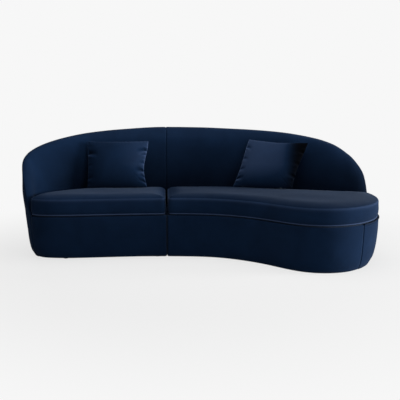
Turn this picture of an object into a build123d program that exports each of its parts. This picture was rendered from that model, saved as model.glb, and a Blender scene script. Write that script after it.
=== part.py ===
"""Curved chaise sofa in two upholstered modules, with loose seat and throw cushions.

Row frame: millimetres, +X to the sitter's left as seen from the front, +Y to the back,
+Z up, with the origin on the floor in the middle of the sofa's own box.
"""
import os
from functools import lru_cache
from math import atan2, ceil, cos, degrees, radians, sin

from build123d import *

os.makedirs("parts", exist_ok=True)

# Overall sizes
overall_width = 2430.0
overall_depth = 1080.0
overall_height = 857.0

# Heights above the floor
foot_height = 18.0
base_top = 298.0
seam_height = 416.0
crown_height = 440.0

# Upholstery and board thicknesses, from the outside in
cover_thickness = 2.0
outer_pad = 8.0
board_thickness = 6.0
liner_thickness = 4.0
back_pad = 42.0
top_pad = 24.0
soft_gap = 0.3
rib_gap = 2.0
slat_gap = 0.5

# Base
taper = 45.0

# Back and arm
back_depth = 125.0
back_lean = 35.0
lean_height = 300.0
shell_lift = 1.0
station_step = 60.0

# Frame timber
ring_thickness = 18.0
bottom_ring_width = 40.0
seat_ring_width = 85.0
post_side = 36.0
slat_width = 60.0
rib_thickness = 18.0
top_rail_width = 16.0
top_rail_height = 40.0
seat_ring_drop = 10.0
join_ring_width = 60.0

# Join between the two modules
join_gap = 6.0
join_turn = 3.0
join_radius = 20.0
least_radius = 4.0

# Seat cushions
cushion_gap = 11.0
cushion_join_gap = 9.0
cushion_edge = 2.0
cushion_belly = 3.0
cushion_corner = 30.0
end_ramp = 40.0
skin_thickness = 1.5
welt_diameter = 7.0
welt_height = 4.5

# Throw cushions
throw_width = 440.0
throw_height = 350.0
throw_depth = 100.0
throw_draw = 24.0
throw_rim = 10.0
throw_ear = 55.0
throw_lift = 6.0

# Springs, clips, feet, screws and connectors
wire_diameter = 4.0
spring_pitch = 110.0
spring_wave = 34.0
spring_width = 40.0
spring_rest = 12.0
clip_length = 18.0
clip_width = 52.0
clip_wall = 1.5
clip_gap = 0.2
deck_inset = 84.0
deck_thickness = 1.2
foot_diameter = 40.0
foot_taper = 4.0
foot_inset = 78.0
foot_recess = 8.0
dust_thickness = 1.0
dust_inset = 5.0
screw_diameter = 4.0
screw_head = 9.0
screw_head_height = 3.0
screw_length = 26.0
hole_gap = 0.1
bracket_length = 70.0
bracket_width = 44.0
bracket_plate = 2.0
tongue_width = 20.0
tongue_thickness = 3.0
tongue_reach = 34.0
tongue_gap = 0.3
jaw_length = 40.0
jaw_width = 30.0
jaw_floor = 2.0
bracket_screw_length = 14.0
bracket_spacing = 26.0
bracket_screw_place = 58.0

# Zips
seat_zip_length = 380.0
throw_zip_length = 300.0
tape_width = 16.0
tape_thickness = 1.2
zip_height = 350.0
slider_length = 14.0
slider_width = 9.0
slider_thickness = 2.4
pull_length = 20.0
pull_width = 5.0
pull_thickness = 1.0
seat_zip_place = 235.0

overrun = 10.0

half_width = overall_width / 2
half_depth = overall_depth / 2
base_height = base_top - foot_height
cushion_low = base_top + soft_gap
shell_low = base_top + shell_lift
dust_low = foot_height + soft_gap
ring_low = dust_low + dust_thickness + soft_gap
ring_high = ring_low + ring_thickness
pad_start = cover_thickness + soft_gap
board_start = pad_start + outer_pad + soft_gap
bracket_top = foot_height - soft_gap
wall_stack = cover_thickness + outer_pad + board_thickness + 3 * soft_gap
rim_stack = wall_stack + top_rail_width + liner_thickness + cover_thickness + 3 * soft_gap
seat_ring_top = base_top - seat_ring_drop
seat_ring_low = seat_ring_top - ring_thickness
core_top = pad_start + top_pad + soft_gap
ring_inset = taper + wall_stack
clip_height = wire_diameter + clip_wall
deck_low = seat_ring_top + clip_height + soft_gap
tongue_high = bracket_top - bracket_plate - tongue_gap
tongue_low = tongue_high - tongue_thickness
jaw_low = tongue_low - tongue_gap - jaw_floor
bracket_start = join_gap / 2 + cover_thickness

# The waist outline, seen from above and anticlockwise from the left arm, as shares of
# half the width and half the depth.
waist_shares = [
    (-0.977, 0.004), (-0.966, -0.122), (-0.934, -0.231), (-0.886, -0.300), (-0.823, -0.326),
    (-0.700, -0.315), (-0.412, -0.244), (-0.123, -0.206), (0.000, -0.222), (0.107, -0.274),
    (0.214, -0.381), (0.305, -0.511), (0.387, -0.672), (0.461, -0.820), (0.543, -0.935),
    (0.642, -0.985), (0.741, -0.950), (0.831, -0.839), (0.905, -0.672), (0.963, -0.441),
    (0.991, -0.200), (0.997, 0.004), (0.985, 0.189), (0.947, 0.337), (0.877, 0.448),
    (0.782, 0.528), (0.676, 0.606), (0.494, 0.735), (0.329, 0.833), (0.165, 0.902),
    (0.000, 0.930), (-0.224, 0.911), (-0.494, 0.837), (-0.669, 0.741), (-0.795, 0.596),
    (-0.894, 0.402), (-0.955, 0.207),
]

# Where each module's outline has its points, as shares of the waist outline's length.
stop_shares = {
    "left": [0.83, 0.862, 0.90, 0.93, 0.958, 0.980, 0.991, 1.000, 1.008, 1.015, 1.0195,
             1.0235, 1.030, 1.040, 1.055, 1.08, 1.11, 1.15],
    "right": [0.21, 0.235, 0.26, 0.285, 0.31, 0.335, 0.36, 0.381, 0.402, 0.424, 0.446,
              0.471, 0.495, 0.514, 0.527, 0.535, 0.540, 0.548, 0.557, 0.566, 0.587, 0.611,
              0.65, 0.70, 0.75],
}

# The base's side: share of its height, and share of the taper that is left there.
base_side_shares = [(0.0, 1.0), (0.08, 0.6), (0.22, 0.33), (0.47, 0.11), (0.80, 0.0), (1.0, 0.0)]

# Back and arm: share of the outline's length, share of the overall height, share of the
# back's depth at the seat, and share of the back padding.
shell_shares = [
    (0.5380, 0.420, 0.22, 0.00), (0.5405, 0.500, 0.30, 0.08), (0.5440, 0.590, 0.42, 0.18),
    (0.5479, 0.655, 0.52, 0.30), (0.5565, 0.726, 0.66, 0.50), (0.5661, 0.786, 0.78, 0.75),
    (0.5874, 0.870, 0.90, 1.00), (0.6110, 0.917, 0.92, 1.00), (0.6512, 0.959, 0.92, 1.00),
    (0.6872, 0.977, 0.93, 1.00), (0.7225, 0.987, 0.94, 1.00), (0.7574, 0.996, 0.96, 1.00),
    (0.8046, 1.000, 1.00, 1.00), (0.8620, 0.981, 0.96, 1.00), (0.9002, 0.956, 0.88, 1.00),
    (0.9301, 0.925, 0.84, 0.90), (0.9578, 0.889, 0.74, 0.68), (0.9802, 0.847, 0.60, 0.42),
    (0.9910, 0.827, 0.50, 0.30), (1.0000, 0.805, 0.44, 0.27), (1.0060, 0.735, 0.40, 0.20),
    (1.0105, 0.655, 0.36, 0.14), (1.0150, 0.575, 0.30, 0.08), (1.0190, 0.480, 0.18, 0.00),
]

# The join's front end and its foot points
join_front_shares = (-0.184, -0.20)
front_join_range_shares = (0.14, 0.24)
back_join_range_shares = (0.76, 0.85)
bracket_shares = (0.08, 0.62)

# Where the back's frame ends, how high the lean and the upright part reach, and the
# rim's rounding
core_end_shares = {"left": 1.0, "right": 0.5661}
knee_share = 0.6
sit_share = 0.4
rim_drop_share = 0.4
rim_reach_share = 0.25

# The middle of each seat cushion, as shares of half the width and half the depth.
cushion_middle_shares = {"left": (-0.53, 0.15), "right": (0.37, 0.04)}
crown_rise_shares = [(0.0, 1.0), (0.45, 0.965), (0.80, 0.91), (1.0, 0.80)]

# Feet, posts, ribs and slats
foot_shares = {"left": [0.066, 0.174, 0.83, 0.93, 0.985],
               "right": [0.196, 0.337, 0.47, 0.55, 0.64, 0.775]}
post_shares = {"left": [0.045, 0.105, 0.155, 0.85, 0.90, 0.955],
               "right": [0.215, 0.27, 0.32, 0.40, 0.445, 0.51, 0.565, 0.62, 0.69, 0.75]}
rib_shares = {"left": [0.8620, 0.9002, 0.9301, 0.9578, 0.9802],
              "right": [0.5874, 0.6110, 0.6512, 0.6872, 0.7225, 0.7574]}
slat_shares = {"left": [-0.78, -0.52, -0.30], "right": [-0.05, 0.20, 0.50, 0.80]}
spring_span_shares = {"left": (-0.80, -0.29), "right": (-0.10, 0.80)}

# Throw cushions: foot of the cushion and its top as shares of half the width, half the
# depth and the overall height, the turn about the upright and the lean of the sides.
throw_foot_shares = {"left": (-0.48335, 0.3839), "right": (0.35914, 0.3637)}
throw_turn = {"left": 4.0, "right": -18.0}
throw_tilt = {"left": 23.0, "right": 25.0}
throw_skew_shares = {"left": 0.0, "right": 0.18}
# Share of the half thickness, and share of the half height that is left out there.
throw_swell_shares = [(1.0, 0.80), (0.90, 0.54), (0.68, 0.26), (0.36, 0.08)]

waist = Spline(*[(x * half_width, y * half_depth) for x, y in waist_shares], periodic=True)
outline_length = waist.length
join_angle = radians(join_turn)
join_along = Vector(-sin(join_angle), cos(join_angle), 0)
join_normal = Vector(cos(join_angle), sin(join_angle), 0)
join_front = Vector(join_front_shares[0] * half_width, join_front_shares[1] * half_depth, 0)
facing = {"left": -1, "right": 1}


def blend(table, at):
    """Values of a table of rows at a place between its rows."""
    low = table[0]
    if at <= low[0]:
        return low[1:]
    for high in table[1:]:
        if at <= high[0]:
            part = (at - low[0]) / (high[0] - low[0])
            return tuple(a + (b - a) * part for a, b in zip(low[1:], high[1:]))
        low = high
    return low[1:]


@lru_cache(maxsize=None)
def waist_spot(share):
    """Point and direction of the waist outline at a share of its length."""
    return waist @ (share % 1), waist % (share % 1)


def inside(share, inset):
    """Point that lies a distance inside the waist outline."""
    spot, run = waist_spot(share)
    return Vector(spot.X - inset * run.Y, spot.Y + inset * run.X, 0)


def join_distance(point):
    """How far a point lies to the right of the middle of the join."""
    return (point - join_front).dot(join_normal)


def join_crossing(side, span, inset_of, clear):
    """Share of the outline at which a module meets its side of the join."""
    low, high = span
    target = facing[side] * (join_gap / 2 + clear)
    rising = join_distance(inside(high, inset_of(high))) > join_distance(inside(low, inset_of(low)))
    for _ in range(30):
        middle = (low + high) / 2
        beyond = join_distance(inside(middle, inset_of(middle))) > target
        if beyond == rising:
            high = middle
        else:
            low = middle
    return middle


def module_points(side, inset_of, clear):
    """Outline of one module, from join to join, anticlockwise."""
    front = join_crossing(side, front_join_range_shares, inset_of, clear)
    back = join_crossing(side, back_join_range_shares, inset_of, clear)
    start, end = (back, front + 1) if side == "left" else (front, back)
    stops = [share for share in stop_shares[side] if start + 0.01 < share < end - 0.01]
    return [inside(share, inset_of(share)) for share in [start, *stops, end]]


def taper_at(height):
    """How far the base's side lies inside the waist outline at a height."""
    share = (height - foot_height) / base_height
    return taper * blend(base_side_shares, share)[0]


def base_block(side, inset, low, high):
    """Solid block of one module's base, set in by a distance all round."""
    levels = [foot_height + share * base_height for share, left in base_side_shares]
    levels = [low, *[level for level in levels if low < level < high], high]
    with BuildPart() as block:
        for level in levels:
            points = module_points(side, lambda share: inset + taper_at(level), inset)
            with BuildSketch(Plane.XY.offset(level)) as outline:
                with BuildLine():
                    edge = Spline(*points)
                    Line(edge @ 1, edge @ 0)
                make_face()
                fillet(outline.vertices(), max(join_radius - inset, least_radius))
        loft(ruled=True)
    return block.part


def flat_panel(side, inset_of, clear, low, thickness):
    """Flat sheet that follows a module's outline."""
    with BuildPart() as panel:
        with BuildSketch(Plane.XY.offset(low)) as outline:
            with BuildLine():
                edge = Spline(*module_points(side, inset_of, clear))
                Line(edge @ 1, edge @ 0)
            make_face()
            fillet(outline.vertices(), least_radius)
        extrude(amount=thickness)
    return panel.part


def shell_profile(share):
    """Outer and inner face of the back at a share of the outline: height, then place."""
    high, depth, pad = blend(shell_shares, share)
    high *= overall_height
    depth *= back_depth
    pad *= back_pad
    reach = high - base_top
    knee = min(lean_height, knee_share * reach)
    lean = back_lean * knee / lean_height
    sit = min(seam_height - base_top, sit_share * reach)
    rim = min(rim_stack + pad, depth + lean)
    outer_face = [(base_top, 0), (base_top + knee, lean), (high, lean)]
    inner_face = [(base_top, -depth), (base_top + sit, -depth), (high, lean - rim)]
    return outer_face, inner_face, pad


def shell_height(share, inset):
    """Height of the back, or of a layer that lies a distance inside it."""
    step = inset / outline_length
    sides = [blend(shell_shares, share + shift)[0] for shift in (-step, step)]
    return min(sides) * overall_height - inset


def face_points(face, shift, low, high):
    """Points up one face of the back, moved sideways: its low end, its bend and its top."""
    bend = face[1][0] if face[1][0] < high - cover_thickness else (low + high) / 2
    return [(blend(face, height)[0] + shift, height) for height in (low, bend, high)]


def outer_line(share, inset, low, high):
    """Points up the back's outer face, set in by a distance."""
    return face_points(shell_profile(share)[0], -inset, low, high)


def inner_line(share, inset, low, high):
    """Points up the back's inner face, set in by a distance."""
    return face_points(shell_profile(share)[1], inset, low, high)


def pad_at(share):
    """Thickness of the back's inner padding."""
    return shell_profile(share)[2]


def section_plane(share):
    """Upright plane across the outline: x points outwards and y points up."""
    spot, run = waist_spot(share)
    return Plane(origin=(spot.X, spot.Y, 0), x_dir=(run.Y, -run.X, 0), z_dir=(-run.X, -run.Y, 0))


def shell_stations(side, end):
    """Shares at which the back has its sections, from a little past the join to its end."""
    past = 2 * overrun / outline_length
    back = join_crossing(side, back_join_range_shares, lambda share: 0, 0)
    low, high = (back - past, end) if side == "left" else (end, back + past)
    least = cover_thickness / outline_length
    shares = []
    for row, after in zip(shell_shares, shell_shares[1:]):
        steps = ceil((after[0] - row[0]) * outline_length / station_step)
        shares += [row[0] + (after[0] - row[0]) * step / steps for step in range(steps)]
    return [low, *[share for share in shares if low + least < share < high - least], high]


def join_plane(side, clear):
    """Upright plane on a module's side of the join, facing the other end of the sofa."""
    distance = facing[side] * (join_gap / 2 + clear)
    return Plane(origin=join_front + join_normal * distance, x_dir=join_along, z_dir=join_normal)


def join_keep(side):
    """The side of the join plane on which a module lies."""
    return Keep.BOTTOM if side == "left" else Keep.TOP


def shell_end(side, inset):
    """Share of the outline where a layer of the back ends, a distance inside its front edge."""
    if side == "left":
        return shell_shares[-1][0] - inset / outline_length
    return shell_shares[0][0] + inset / outline_length


def shell_block(side, inset, low):
    """Solid block of the back and arm with a round rim, set in by a distance all round."""
    with BuildPart() as block:
        for share in shell_stations(side, shell_end(side, inset)):
            high = shell_height(share, inset)
            out_high = blend(shell_profile(share)[0], high)[0] - inset
            in_high = blend(shell_profile(share)[1], high)[0] + inset
            reach = blend(shell_shares, share)[0] * overall_height - base_top
            drop = min(rim_drop_share * (out_high - in_high), rim_reach_share * reach)
            outside = outer_line(share, inset, low, high - drop)
            within = inner_line(share, inset, low, high - drop)
            crown = ((outside[-1][0] + within[-1][0]) / 2, high)
            with BuildSketch(section_plane(share)):
                with BuildLine():
                    Polyline(*outside)
                    ThreePointArc(outside[-1], crown, within[-1])
                    Polyline(*reversed(within))
                    Line(within[0], outside[0])
                make_face()
        loft(ruled=True)
        split(bisect_by=join_plane(side, inset), keep=join_keep(side))
    return block.part


def core_block(side, lines_of, clear):
    """Solid between two upright lines of the back's section, as far as its frame goes."""
    with BuildPart() as block:
        for share in shell_stations(side, core_end_shares[side]):
            outside, within = lines_of(share)
            with BuildSketch(section_plane(share)):
                with BuildLine():
                    Polyline(*outside)
                    Line(outside[-1], within[-1])
                    Polyline(*reversed(within))
                    Line(within[0], outside[0])
                make_face()
        loft(ruled=True)
        split(bisect_by=join_plane(side, clear), keep=join_keep(side))
    return block.part


def depth_at(share):
    """Depth of the back at the seat."""
    return blend(shell_shares, share)[1] * back_depth


def behind_seat(side, clear):
    """Inset that follows the back's inner face and runs out to the front past its end."""
    end = shell_shares[-1][0] - 1 if side == "left" else shell_shares[0][0]
    widest = depth_at(end + 1 if side == "left" else end) + clear

    def inset_of(share):
        place = share if share < 1 else share - 1
        if side == "left":
            beyond = (place - end) * outline_length if place < 0.5 else -end_ramp
            here = share if share < 1.5 and share > 0.5 else share + 1
        else:
            beyond = (end - place) * outline_length
            here = share
        if beyond <= 0:
            return depth_at(here) + clear
        return cushion_edge + (widest - cushion_edge) * max(0, 1 - beyond / end_ramp)

    return inset_of


def cushion_outline(side, inset, skin, scale):
    """Points of a seat cushion's outline, drawn in towards its middle by a scale."""
    inset_of = behind_seat(side, cushion_gap)
    points = module_points(side, lambda share: inset_of(share) + inset + skin,
                           cushion_join_gap + skin)
    x_share, y_share = cushion_middle_shares[side]
    middle = Vector(x_share * half_width, y_share * half_depth, 0)
    return [middle + (point - middle) * scale for point in points]


def cushion_block(side, skin):
    """Solid seat cushion: a boxed body with a crowned top, set in by a skin."""
    rise = crown_height - seam_height
    low = cushion_low + skin
    seam = seam_height - skin
    body = [(low, cushion_edge, 1), (low + welt_diameter / 2, 0, 1),
            ((low + seam) / 2, -cushion_belly, 1), (seam, cushion_edge, 1)]
    crown = [(seam + rise * up, cushion_edge, scale) for up, scale in crown_rise_shares]
    with BuildPart() as block:
        for sections in (body, crown):
            for level, inset, scale in sections:
                with BuildSketch(Plane.XY.offset(level)) as outline:
                    with BuildLine():
                        edge = Spline(*cushion_outline(side, inset, skin, scale))
                        Line(edge @ 1, edge @ 0)
                    make_face()
                    fillet(outline.vertices(), (cushion_corner - skin) * scale)
            loft(ruled=True)
    return block.part


def welt_block(side):
    """Solid that the bottom welt's round outer side bounds."""
    radius = welt_diameter / 2
    middle = cushion_low + welt_height
    levels = [(middle + radius * sin(radians(turn)), -radius * (1 + cos(radians(turn))))
              for turn in (-90, -45, 0, 45, 90)]
    with BuildPart() as block:
        for level, inset in levels:
            with BuildSketch(Plane.XY.offset(level)) as outline:
                with BuildLine():
                    edge = Spline(*welt_points(side, inset))
                    Line(edge @ 1, edge @ 0)
                make_face()
                fillet(outline.vertices(), cushion_corner - inset)
        loft(ruled=True)
    return block.part


def welt_points(side, inset):
    """Outline of the welt, which stands out from the cushion on every side."""
    inset_of = behind_seat(side, cushion_gap)
    return module_points(side, lambda share: inset_of(share) + inset, cushion_join_gap + inset)


def throw_plane(side):
    """Plane of a throw cushion: x to its right, y up its slope, z to the sitter."""
    x_share, y_share = throw_foot_shares[side]
    turn = radians(throw_turn[side])
    tilt = radians(throw_tilt[side])
    foot = crown_height + throw_rim / 2 * sin(tilt) + soft_gap
    right = Vector(cos(turn), sin(turn), 0)
    up = Vector(-sin(turn) * sin(tilt), cos(turn) * sin(tilt), cos(tilt))
    return Plane(origin=(x_share * half_width, y_share * half_depth, foot), x_dir=right,
                 z_dir=right.cross(up))


def throw_block(side, skin):
    """Solid throw cushion that swells from a thin rim, set in by a skin."""
    swell = [(depth * throw_depth / 2, share * throw_height / 2)
             for depth, share in throw_swell_shares]
    front = [*swell, (throw_rim / 2, 0)]
    levels = [(-offset + skin, inset) for offset, inset in front]
    levels += [(offset - skin, inset) for offset, inset in reversed(front)]
    skew = throw_skew_shares[side]
    with BuildPart() as block:
        for offset, inset in levels:
            draw = throw_draw * (1 - 2 * inset / throw_height)
            low = inset + skin
            high = throw_height - low
            side_x = throw_width / 2 - low
            ear = side_x - throw_ear * (1 - inset / throw_height)
            middle = throw_height / 2
            corners = [(side_x, low), (side_x, high), (-side_x, high), (-side_x, low),
                       (-ear, low + throw_lift), (ear, low + throw_lift),
                       (side_x - draw, middle), (0, high - draw / 2), (-side_x + draw, middle)]
            a, b, c, d, e, f, right, top, left = [(x + skew * y, y) for x, y in corners]
            with BuildSketch(throw_plane(side).offset(offset)):
                with BuildLine():
                    ThreePointArc(a, right, b)
                    ThreePointArc(b, top, c)
                    ThreePointArc(c, left, d)
                    Polyline(d, e, f, a)
                make_face()
        loft(ruled=True)
    return block.part


def ring_points(side):
    """Middle of the bottom ring at each foot, as places on the floor plan."""
    return [inside(share, foot_inset) for share in foot_shares[side]]


def bracket_planes(side):
    """Planes under the base at each connector: x points away from the join, y along it."""
    places = [join_front + join_along * (share * half_depth - join_front.Y) / join_along.Y
              for share in bracket_shares]
    return [Plane(origin=place, x_dir=join_normal * facing[side], z_dir=(0, 0, 1))
            for place in places]


def screw_spots(side):
    """Where the connector screws stand."""
    return [plane.from_local_coords((bracket_screw_place, step * bracket_spacing / 2, 0))
            for plane in bracket_planes(side) for step in (-1, 1)]


def edge_height(side, x, inset, clear):
    """Front and back of a module at a place across it, a distance inside its outline."""
    points = module_points(side, lambda share: inset, clear)
    crossings = []
    for a, b in zip(points, points[1:] + points[:1]):
        if (a.X - x) * (b.X - x) < 0:
            crossings.append(a.Y + (b.Y - a.Y) * (x - a.X) / (b.X - a.X))
    return min(crossings), max(crossings)


def finish(piece, label):
    """Name a finished piece and write its file."""
    piece.part.label = label
    export_step(piece.part, "parts/" + label + ".step")


for side in ("left", "right"):
    # Fabric of the base, a ring round all its sides
    with BuildPart() as base_cover:
        add(base_block(side, 0, foot_height, base_top))
        add(base_block(side, cover_thickness, foot_height - overrun, base_top + overrun),
            mode=Mode.SUBTRACT)
    finish(base_cover, side + "_base_cover")

    # Wadding under that fabric
    with BuildPart() as base_padding:
        add(base_block(side, pad_start, foot_height + cover_thickness,
                       base_top - cover_thickness))
        add(base_block(side, pad_start + outer_pad, foot_height - overrun, base_top + overrun),
            mode=Mode.SUBTRACT)
    finish(base_padding, side + "_base_padding")

    # Bent plywood facing of the base
    with BuildPart() as base_board:
        add(base_block(side, board_start, foot_height + cover_thickness,
                       base_top - 2 * cover_thickness))
        add(base_block(side, board_start + board_thickness, foot_height - overrun,
                       base_top + overrun), mode=Mode.SUBTRACT)
    finish(base_board, side + "_base_board")

    # Plywood ring at the bottom of the frame, drilled for the feet and the connectors
    drilled = [(spot.X, spot.Y, ring_low) for spot in ring_points(side) + screw_spots(side)]
    ring_hole = screw_diameter / 2 + hole_gap
    inner_clear = wall_stack + join_ring_width
    with BuildPart() as bottom_ring:
        add(flat_panel(side, lambda share: ring_inset, wall_stack, ring_low, ring_thickness))
        add(flat_panel(side, lambda share: ring_inset + bottom_ring_width, inner_clear,
                       ring_low - overrun, ring_thickness + 2 * overrun), mode=Mode.SUBTRACT)
        with Locations(*drilled):
            Cylinder(ring_hole, 4 * ring_thickness, mode=Mode.SUBTRACT)
    finish(bottom_ring, side + "_bottom_ring")

    # Cross slats between the ring's sides
    slat_spots = [(share * half_width, 0, ring_low + ring_thickness / 2)
                  for share in slat_shares[side]]
    with BuildPart() as slats:
        with Locations(*slat_spots):
            Box(slat_width, overall_depth, ring_thickness)
        add(flat_panel(side, lambda share: ring_inset + bottom_ring_width + slat_gap,
                       inner_clear + slat_gap, ring_low, ring_thickness), mode=Mode.INTERSECT)
    finish(slats, side + "_cross_slats")

    # Plywood ring that carries the seat and the back
    with BuildPart() as seat_ring:
        add(flat_panel(side, lambda share: wall_stack, wall_stack, seat_ring_low,
                       ring_thickness))
        add(flat_panel(side, lambda share: wall_stack + seat_ring_width, inner_clear,
                       seat_ring_low - overrun, ring_thickness + 2 * overrun),
            mode=Mode.SUBTRACT)
    finish(seat_ring, side + "_seat_ring")

    # Posts between the two rings
    with BuildPart() as posts:
        for share in post_shares[side]:
            foot = inside(share, ring_inset + bottom_ring_width / 2)
            run = waist_spot(share)[1]
            place = Location((foot.X, foot.Y, ring_high), (0, 0, degrees(atan2(run.Y, run.X))))
            with Locations(place):
                Box(post_side, post_side, seat_ring_low - ring_high,
                    align=(Align.CENTER, Align.CENTER, Align.MIN))
    finish(posts, side + "_posts")

    # Upright ribs of the back, standing on the seat ring
    with BuildPart() as ribs:
        for share in rib_shares[side]:
            step = rib_thickness / outline_length
            rail_low = min(shell_height(share + step, core_top),
                           shell_height(share - step, core_top)) - top_rail_height
            high = rail_low - rib_gap
            outside = outer_line(share, board_start + board_thickness + rib_gap,
                                 seat_ring_top, high)
            within = inner_line(share, pad_start + pad_at(share) + soft_gap + liner_thickness
                                + rib_gap, seat_ring_top, high)
            with BuildSketch(section_plane(share).offset(-rib_thickness / 2)):
                with BuildLine():
                    Polyline(*outside, *reversed(within), close=True)
                make_face()
            extrude(amount=rib_thickness)
    finish(ribs, side + "_back_ribs")

    # Bent board on the outside of the ribs
    def board_lines(share):
        high = shell_height(share, core_top) - soft_gap
        return (outer_line(share, board_start, shell_low, high),
                outer_line(share, board_start + board_thickness, shell_low, high))

    with BuildPart() as back_board:
        add(core_block(side, board_lines, board_start))
    finish(back_board, side + "_back_board")

    # Lining on the inside of the ribs
    def liner_lines(share):
        high = shell_height(share, core_top) - soft_gap
        start = pad_start + pad_at(share) + soft_gap
        return (inner_line(share, start + liner_thickness, shell_low, high),
                inner_line(share, start, shell_low, high))

    with BuildPart() as back_liner:
        add(core_block(side, liner_lines, board_start))
    finish(back_liner, side + "_back_liner")

    # Rail along the top of the ribs
    def rail_lines(share):
        high = shell_height(share, core_top) - soft_gap
        outer_face, inner_face, pad = shell_profile(share)
        out_x = blend(outer_face, high)[0] - wall_stack
        in_x = blend(inner_face, high)[0] + pad_start + pad + 2 * soft_gap + liner_thickness
        heights = (high - top_rail_height, high - top_rail_height / 2, high)
        return [(out_x, height) for height in heights], [(in_x, height) for height in heights]

    with BuildPart() as top_rail:
        add(core_block(side, rail_lines, board_start))
    finish(top_rail, side + "_top_rail")

    # Foam over the frame of the back and arm
    def core_lines(share):
        high = shell_height(share, core_top)
        return (outer_line(share, pad_start + outer_pad, shell_low - overrun, high),
                inner_line(share, pad_start + pad_at(share), shell_low - overrun, high))

    with BuildPart() as back_foam:
        add(shell_block(side, pad_start, shell_low))
        add(core_block(side, core_lines, pad_start + outer_pad), mode=Mode.SUBTRACT)
    finish(back_foam, side + "_back_foam")

    # Fabric of the back and arm
    with BuildPart() as back_cover:
        add(shell_block(side, 0, shell_low))
        add(shell_block(side, cover_thickness, shell_low - overrun), mode=Mode.SUBTRACT)
    finish(back_cover, side + "_back_cover")

    # Zigzag seat springs and the clips that hold their ends on the seat ring
    first, last = [share * half_width for share in spring_span_shares[side]]
    lanes = max(1, round((last - first) / spring_pitch))
    lines = []
    for lane in range(lanes + 1):
        x = first + (last - first) * lane / lanes
        front, back = edge_height(side, x, wall_stack + seat_ring_width, inner_clear)
        lines.append((x, front - spring_rest, back + spring_rest))
    with BuildPart() as springs:
        with BuildSketch(Plane.XY.offset(seat_ring_top)):
            for x, front, back in lines:
                waves = max(2, round((back - front) / spring_wave))
                step = (back - front) / waves
                with Locations(*[(x, front + step * wave) for wave in range(waves + 1)]):
                    Rectangle(spring_width, wire_diameter)
                swing = (spring_width - wire_diameter) / 2
                with Locations(*[(x + (swing if wave % 2 else -swing), front + step * (wave + 0.5))
                                 for wave in range(waves)]):
                    Rectangle(wire_diameter, step)
        extrude(amount=wire_diameter)
    finish(springs, side + "_springs")

    with BuildPart() as clips:
        for x, front, back in lines:
            for end, way in ((front, 1), (back, -1)):
                with Locations((x, end, seat_ring_top)):
                    Box(clip_width, clip_length, clip_height,
                        align=(Align.CENTER, Align.CENTER, Align.MIN))
                slot = clip_length / 2 + wire_diameter / 2 + clip_gap
                middle = end + way * (slot / 2 - wire_diameter / 2 - clip_gap)
                with Locations((x, middle, seat_ring_top)):
                    Box(spring_width + 2 * clip_gap, slot, wire_diameter + clip_gap,
                        align=(Align.CENTER, Align.CENTER, Align.MIN), mode=Mode.SUBTRACT)
    finish(clips, side + "_spring_clips")

    # Deck cloth over the springs
    with BuildPart() as deck_cloth:
        add(flat_panel(side, lambda share: deck_inset, wall_stack + join_ring_width / 2,
                       deck_low, deck_thickness))
    finish(deck_cloth, side + "_deck_cloth")

    # Dust cover under the frame
    with BuildPart() as dust_cover:
        add(flat_panel(side, lambda share: taper + cover_thickness + dust_inset,
                       cover_thickness + dust_inset, dust_low, dust_thickness))
        with Locations(*drilled):
            Cylinder(ring_hole, 4 * ring_thickness, mode=Mode.SUBTRACT)
    finish(dust_cover, side + "_dust_cover")

    # Glide feet with a recess for the screw's head
    foot_places = [(spot.X, spot.Y, 0) for spot in ring_points(side)]
    with BuildPart() as feet:
        with Locations(*foot_places):
            Cone(foot_diameter / 2 - foot_taper, foot_diameter / 2, foot_height,
                 align=(Align.CENTER, Align.CENTER, Align.MIN))
            Cylinder(ring_hole, 4 * foot_height, mode=Mode.SUBTRACT)
            Cylinder(screw_head / 2 + 2 * hole_gap, foot_recess,
                     align=(Align.CENTER, Align.CENTER, Align.MIN), mode=Mode.SUBTRACT)
    finish(feet, side + "_feet")

    # Screws of the feet and of the connectors
    bracket_low = bracket_top - bracket_plate
    with BuildPart() as screws:
        for spots, seat, length in ((ring_points(side), foot_recess, screw_length),
                                    (screw_spots(side), bracket_low, bracket_screw_length)):
            with Locations(*[(spot.X, spot.Y, seat) for spot in spots]):
                Cylinder(screw_diameter / 2, length,
                         align=(Align.CENTER, Align.CENTER, Align.MIN))
                Cylinder(screw_head / 2, screw_head_height,
                         align=(Align.CENTER, Align.CENTER, Align.MAX))
    finish(screws, side + "_screws")

    # Connectors under the join: jaws on the left module, tongues on the right one
    with BuildPart() as connectors:
        for plane in bracket_planes(side):
            with BuildSketch(plane.offset(bracket_low)):
                with Locations((bracket_start + bracket_length / 2, 0)):
                    Rectangle(bracket_length, bracket_width)
                with Locations((bracket_screw_place, bracket_spacing / 2),
                               (bracket_screw_place, -bracket_spacing / 2)):
                    Circle(ring_hole, mode=Mode.SUBTRACT)
            extrude(amount=bracket_plate)
            if side == "left":
                with BuildSketch(plane.offset(jaw_low)):
                    with Locations((bracket_start + jaw_length / 2, 0)):
                        Rectangle(jaw_length, jaw_width)
                extrude(amount=bracket_low - jaw_low)
                with BuildSketch(plane.offset(jaw_low + jaw_floor)):
                    with Locations((tongue_reach / 2, 0)):
                        Rectangle(tongue_reach + 2 * jaw_floor, tongue_width + 2 * tongue_gap)
                extrude(amount=bracket_low - jaw_low - jaw_floor, mode=Mode.SUBTRACT)
            else:
                with BuildSketch(plane.offset(tongue_low)):
                    with Locations(((jaw_length - tongue_reach) / 2, 0)):
                        Rectangle(jaw_length + tongue_reach, tongue_width)
                extrude(amount=tongue_thickness)
                with BuildSketch(plane.offset(tongue_high)):
                    with Locations(((bracket_start + jaw_length) / 2, 0)):
                        Rectangle(jaw_length - bracket_start, tongue_width)
                extrude(amount=tongue_gap)
    finish(connectors, side + "_connectors")

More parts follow.
